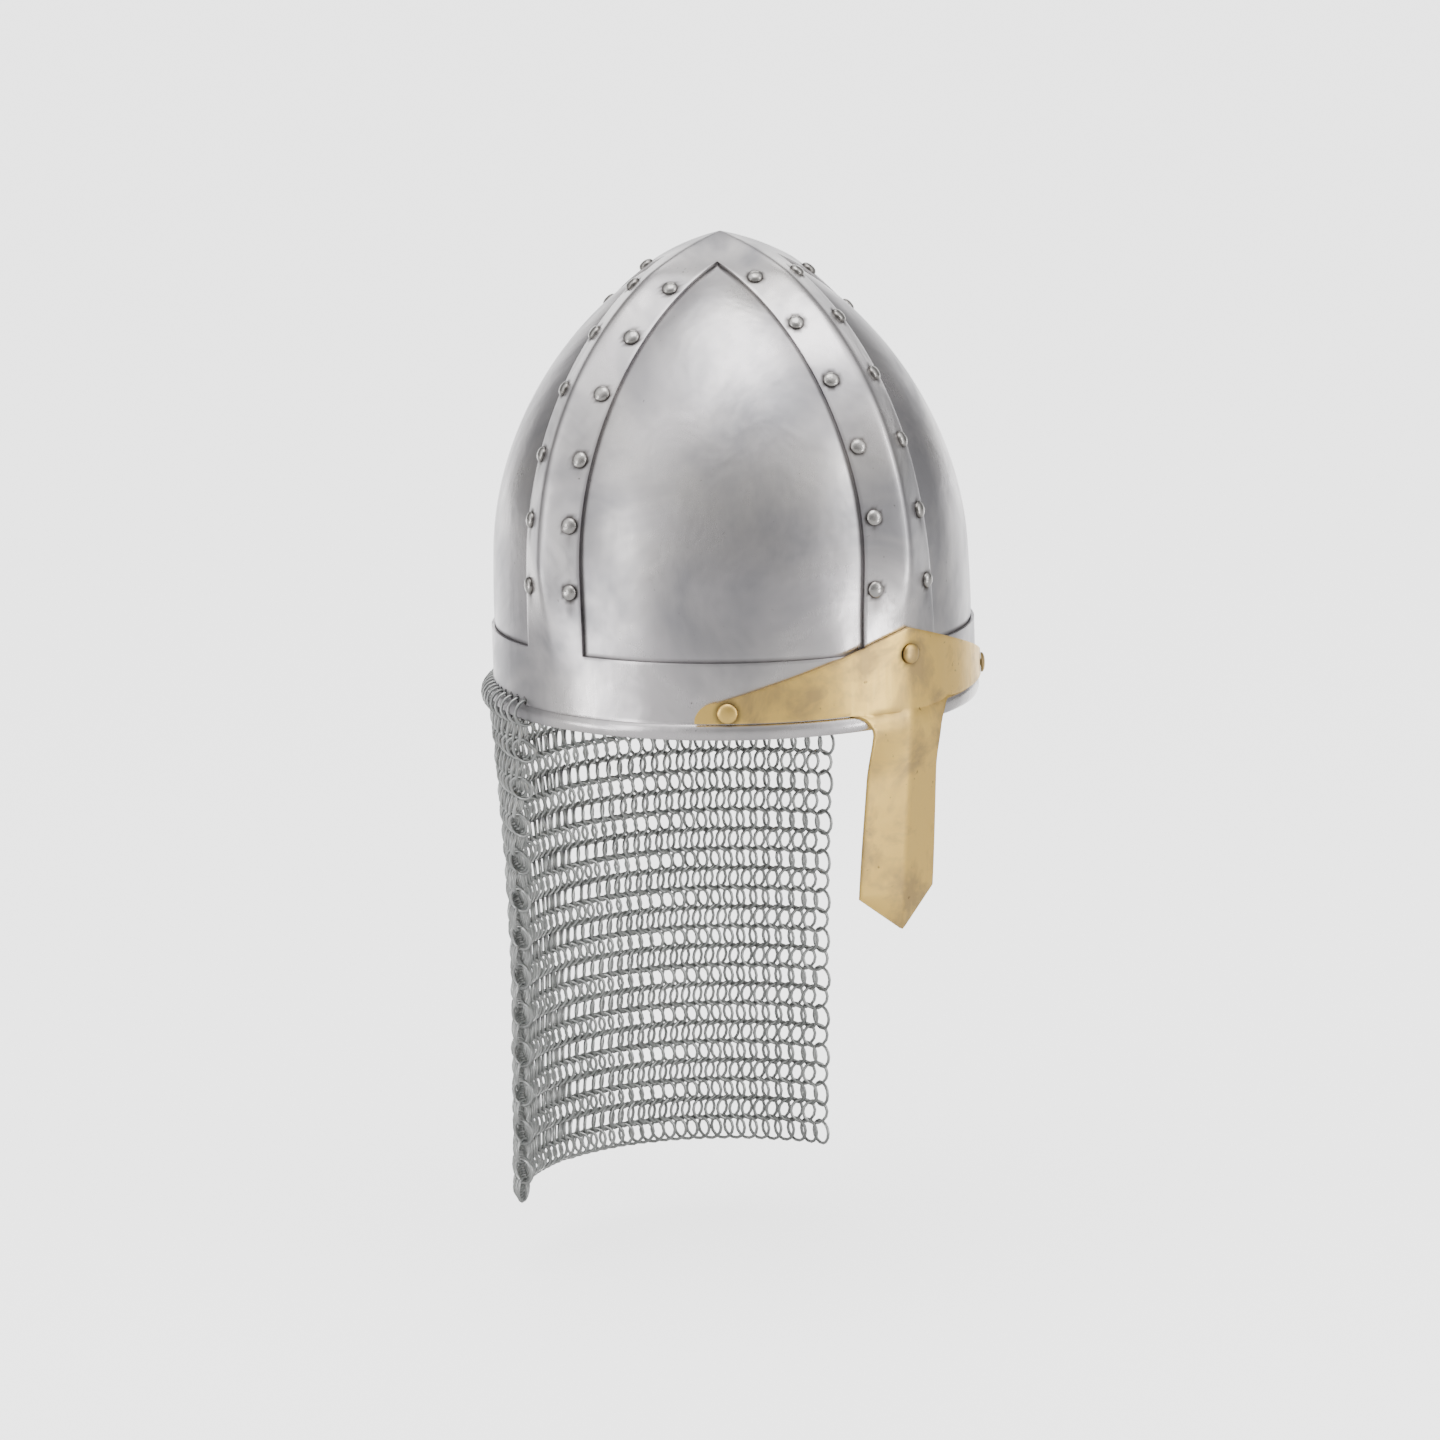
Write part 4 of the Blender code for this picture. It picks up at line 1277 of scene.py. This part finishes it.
def build_lights(s):
    """Soft lamps round the helmet, each facing its middle."""
    for name, azimuth, elevation, distance, wide, high, power in LIGHTS:
        data = bpy.data.lights.new(name, "AREA")
        data.shape = "RECTANGLE"
        data.size, data.size_y = wide, high
        data.energy = power
        back = orbit_direction(s.azimuth - math.radians(azimuth), math.radians(elevation))
        turned = back.to_track_quat("Z", "Y").to_matrix().to_4x4()
        add_object(name, data).matrix_world = Matrix.Translation(back * distance) @ turned


def build_world(s):
    """A soft room whose brightness goes by the angle from the camera's direction: grey behind the
    camera, light all round it, dark beyond, and white behind the helmet. It is a little brighter
    overhead. To the eye it is plain and pale."""
    world = bpy.data.worlds.new("studio")
    bpy.context.scene.world = world
    world.use_nodes = True
    tree = world.node_tree
    source = add_node(tree, "TexCoord").outputs["Generated"]
    towards = facing(tree, source, orbit_direction(s.azimuth, s.elevation))
    ramp = add_node(tree, "ValToRGB", {"Fac": spread(tree, towards, -1, 1, 0, 1)})
    elements = ramp.color_ramp.elements
    for k, (angle, tone) in enumerate(sorted(ROOM_TONES, reverse=True)):
        place = (1 + math.cos(math.radians(angle))) / 2
        element = elements[k] if k < 2 else elements.new(place)
        element.position = place
        element.color = (*grey(tone), 1)
    height = add_node(tree, "SeparateXYZ", {"Vector": source}).outputs["Z"]
    share = blend(tree, spread(tree, height, 0.1, 0.8, 0, 1), *ROOM_SHARES)
    room = blend(tree, 1.0, ramp.outputs["Color"], share, "MULTIPLY")
    background = tree.nodes["Background"]
    put(background.inputs["Color"], blend(tree, seen_by_eye(tree), room, BACKDROP_TONE))
    put(background.inputs["Strength"], ROOM_STRENGTH)


# Operators


class HELMET_OT_frame(bpy.types.Operator):
    """Build the crown's frame of brow band and creased bands"""

    bl_idname = "helmet.frame"
    bl_label = "Crown Frame"

    def execute(self, context):
        h = context.scene.helmet
        build_frame(h, steel_material(h.finish, "frame steel", h.finish.steel_frame))
        return {"FINISHED"}


class HELMET_OT_plates(bpy.types.Operator):
    """Build the four plates behind the windows"""

    bl_idname = "helmet.plates"
    bl_label = "Plates"

    def execute(self, context):
        h = context.scene.helmet
        material = steel_material(h.finish, "plate steel", h.finish.steel)
        for quadrant in range(4):
            build_plate(h.crown, quadrant, material, h.finish.seam)
        return {"FINISHED"}


class HELMET_OT_rivets(bpy.types.Operator):
    """Build the steel rivets of the four bands"""

    bl_idname = "helmet.rivets"
    bl_label = "Steel Rivets"

    def execute(self, context):
        h = context.scene.helmet
        r, c = h.rivets, h.crown
        depth = c.steel + c.plate_steel + 2 * c.clearance
        profile = rivet_profile(r.head_radius, r.head_height, r.shank, r.tail, depth)
        material = rivet_material(h.finish)
        for band in BANDS:
            nodes = band_nodes(band)
            place_rivets(f"rivets_{band}", nodes, profile, material, wobble=0.05)
        return {"FINISHED"}


class HELMET_OT_guard(bpy.types.Operator):
    """Build the brass nasal guard and its rivets"""

    bl_idname = "helmet.guard"
    bl_label = "Nasal Guard"

    def execute(self, context):
        h = context.scene.helmet
        r, c, g = h.rivets, h.crown, h.guard
        material = brass_material(h.finish)
        build_guard(h, material)
        depth = g.brass + c.steel + 2 * c.clearance + g.ridge_lift
        profile = rivet_profile(r.brass_radius, r.brass_height, r.shank, r.tail, depth)
        place_rivets("brass_rivets", BRASS_NODES, profile, material, wobble=0.03)
        return {"FINISHED"}


class HELMET_OT_mail(bpy.types.Operator):
    """Build the mail curtain of interlocked rings"""

    bl_idname = "helmet.mail"
    bl_label = "Mail Curtain"

    def execute(self, context):
        h = context.scene.helmet
        build_mail(h.crown, h.mail, wire_material(h.finish))
        return {"FINISHED"}


class HELMET_OT_stage(bpy.types.Operator):
    """Set the floor, the lights and the camera"""

    bl_idname = "helmet.stage"
    bl_label = "Stage"

    def execute(self, context):
        s = context.scene.helmet.stage
        build_floor(s)
        build_lights(s)
        build_world(s)
        build_camera(s)
        return {"FINISHED"}


class HELMET_PT_panel(bpy.types.Panel):
    """The helmet's operators and settings"""

    bl_idname = "HELMET_PT_panel"
    bl_label = "Spangenhelm"
    bl_space_type = "VIEW_3D"
    bl_region_type = "UI"
    bl_category = "Spangenhelm"

    def draw(self, context):
        layout = self.layout
        for operator in OPERATORS:
            layout.operator(operator.bl_idname)
        helmet = context.scene.helmet
        for group in ("crown", "guard", "rivets", "mail", "finish", "stage"):
            settings = getattr(helmet, group)
            box = layout.box()
            box.label(text=group.capitalize())
            for name in settings.bl_rna.properties.keys():
                if name not in ("rna_type", "name"):
                    box.prop(settings, name)


OPERATORS = (
    HELMET_OT_frame,
    HELMET_OT_plates,
    HELMET_OT_rivets,
    HELMET_OT_guard,
    HELMET_OT_mail,
    HELMET_OT_stage,
)
CLASSES = (
    CrownSettings,
    GuardSettings,
    RivetSettings,
    MailSettings,
    FinishSettings,
    StageSettings,
    HelmetSettings,
    *OPERATORS,
    HELMET_PT_panel,
)


def register():
    for item in CLASSES:
        bpy.utils.register_class(item)
    bpy.types.Scene.helmet = PointerProperty(type=HelmetSettings)


def unregister():
    del bpy.types.Scene.helmet
    for item in reversed(CLASSES):
        bpy.utils.unregister_class(item)


def main():
    register()
    bpy.ops.helmet.frame()
    bpy.ops.helmet.plates()
    bpy.ops.helmet.rivets()
    bpy.ops.helmet.guard()
    bpy.ops.helmet.mail()
    bpy.ops.helmet.stage()


if __name__ == "__main__":
    main()
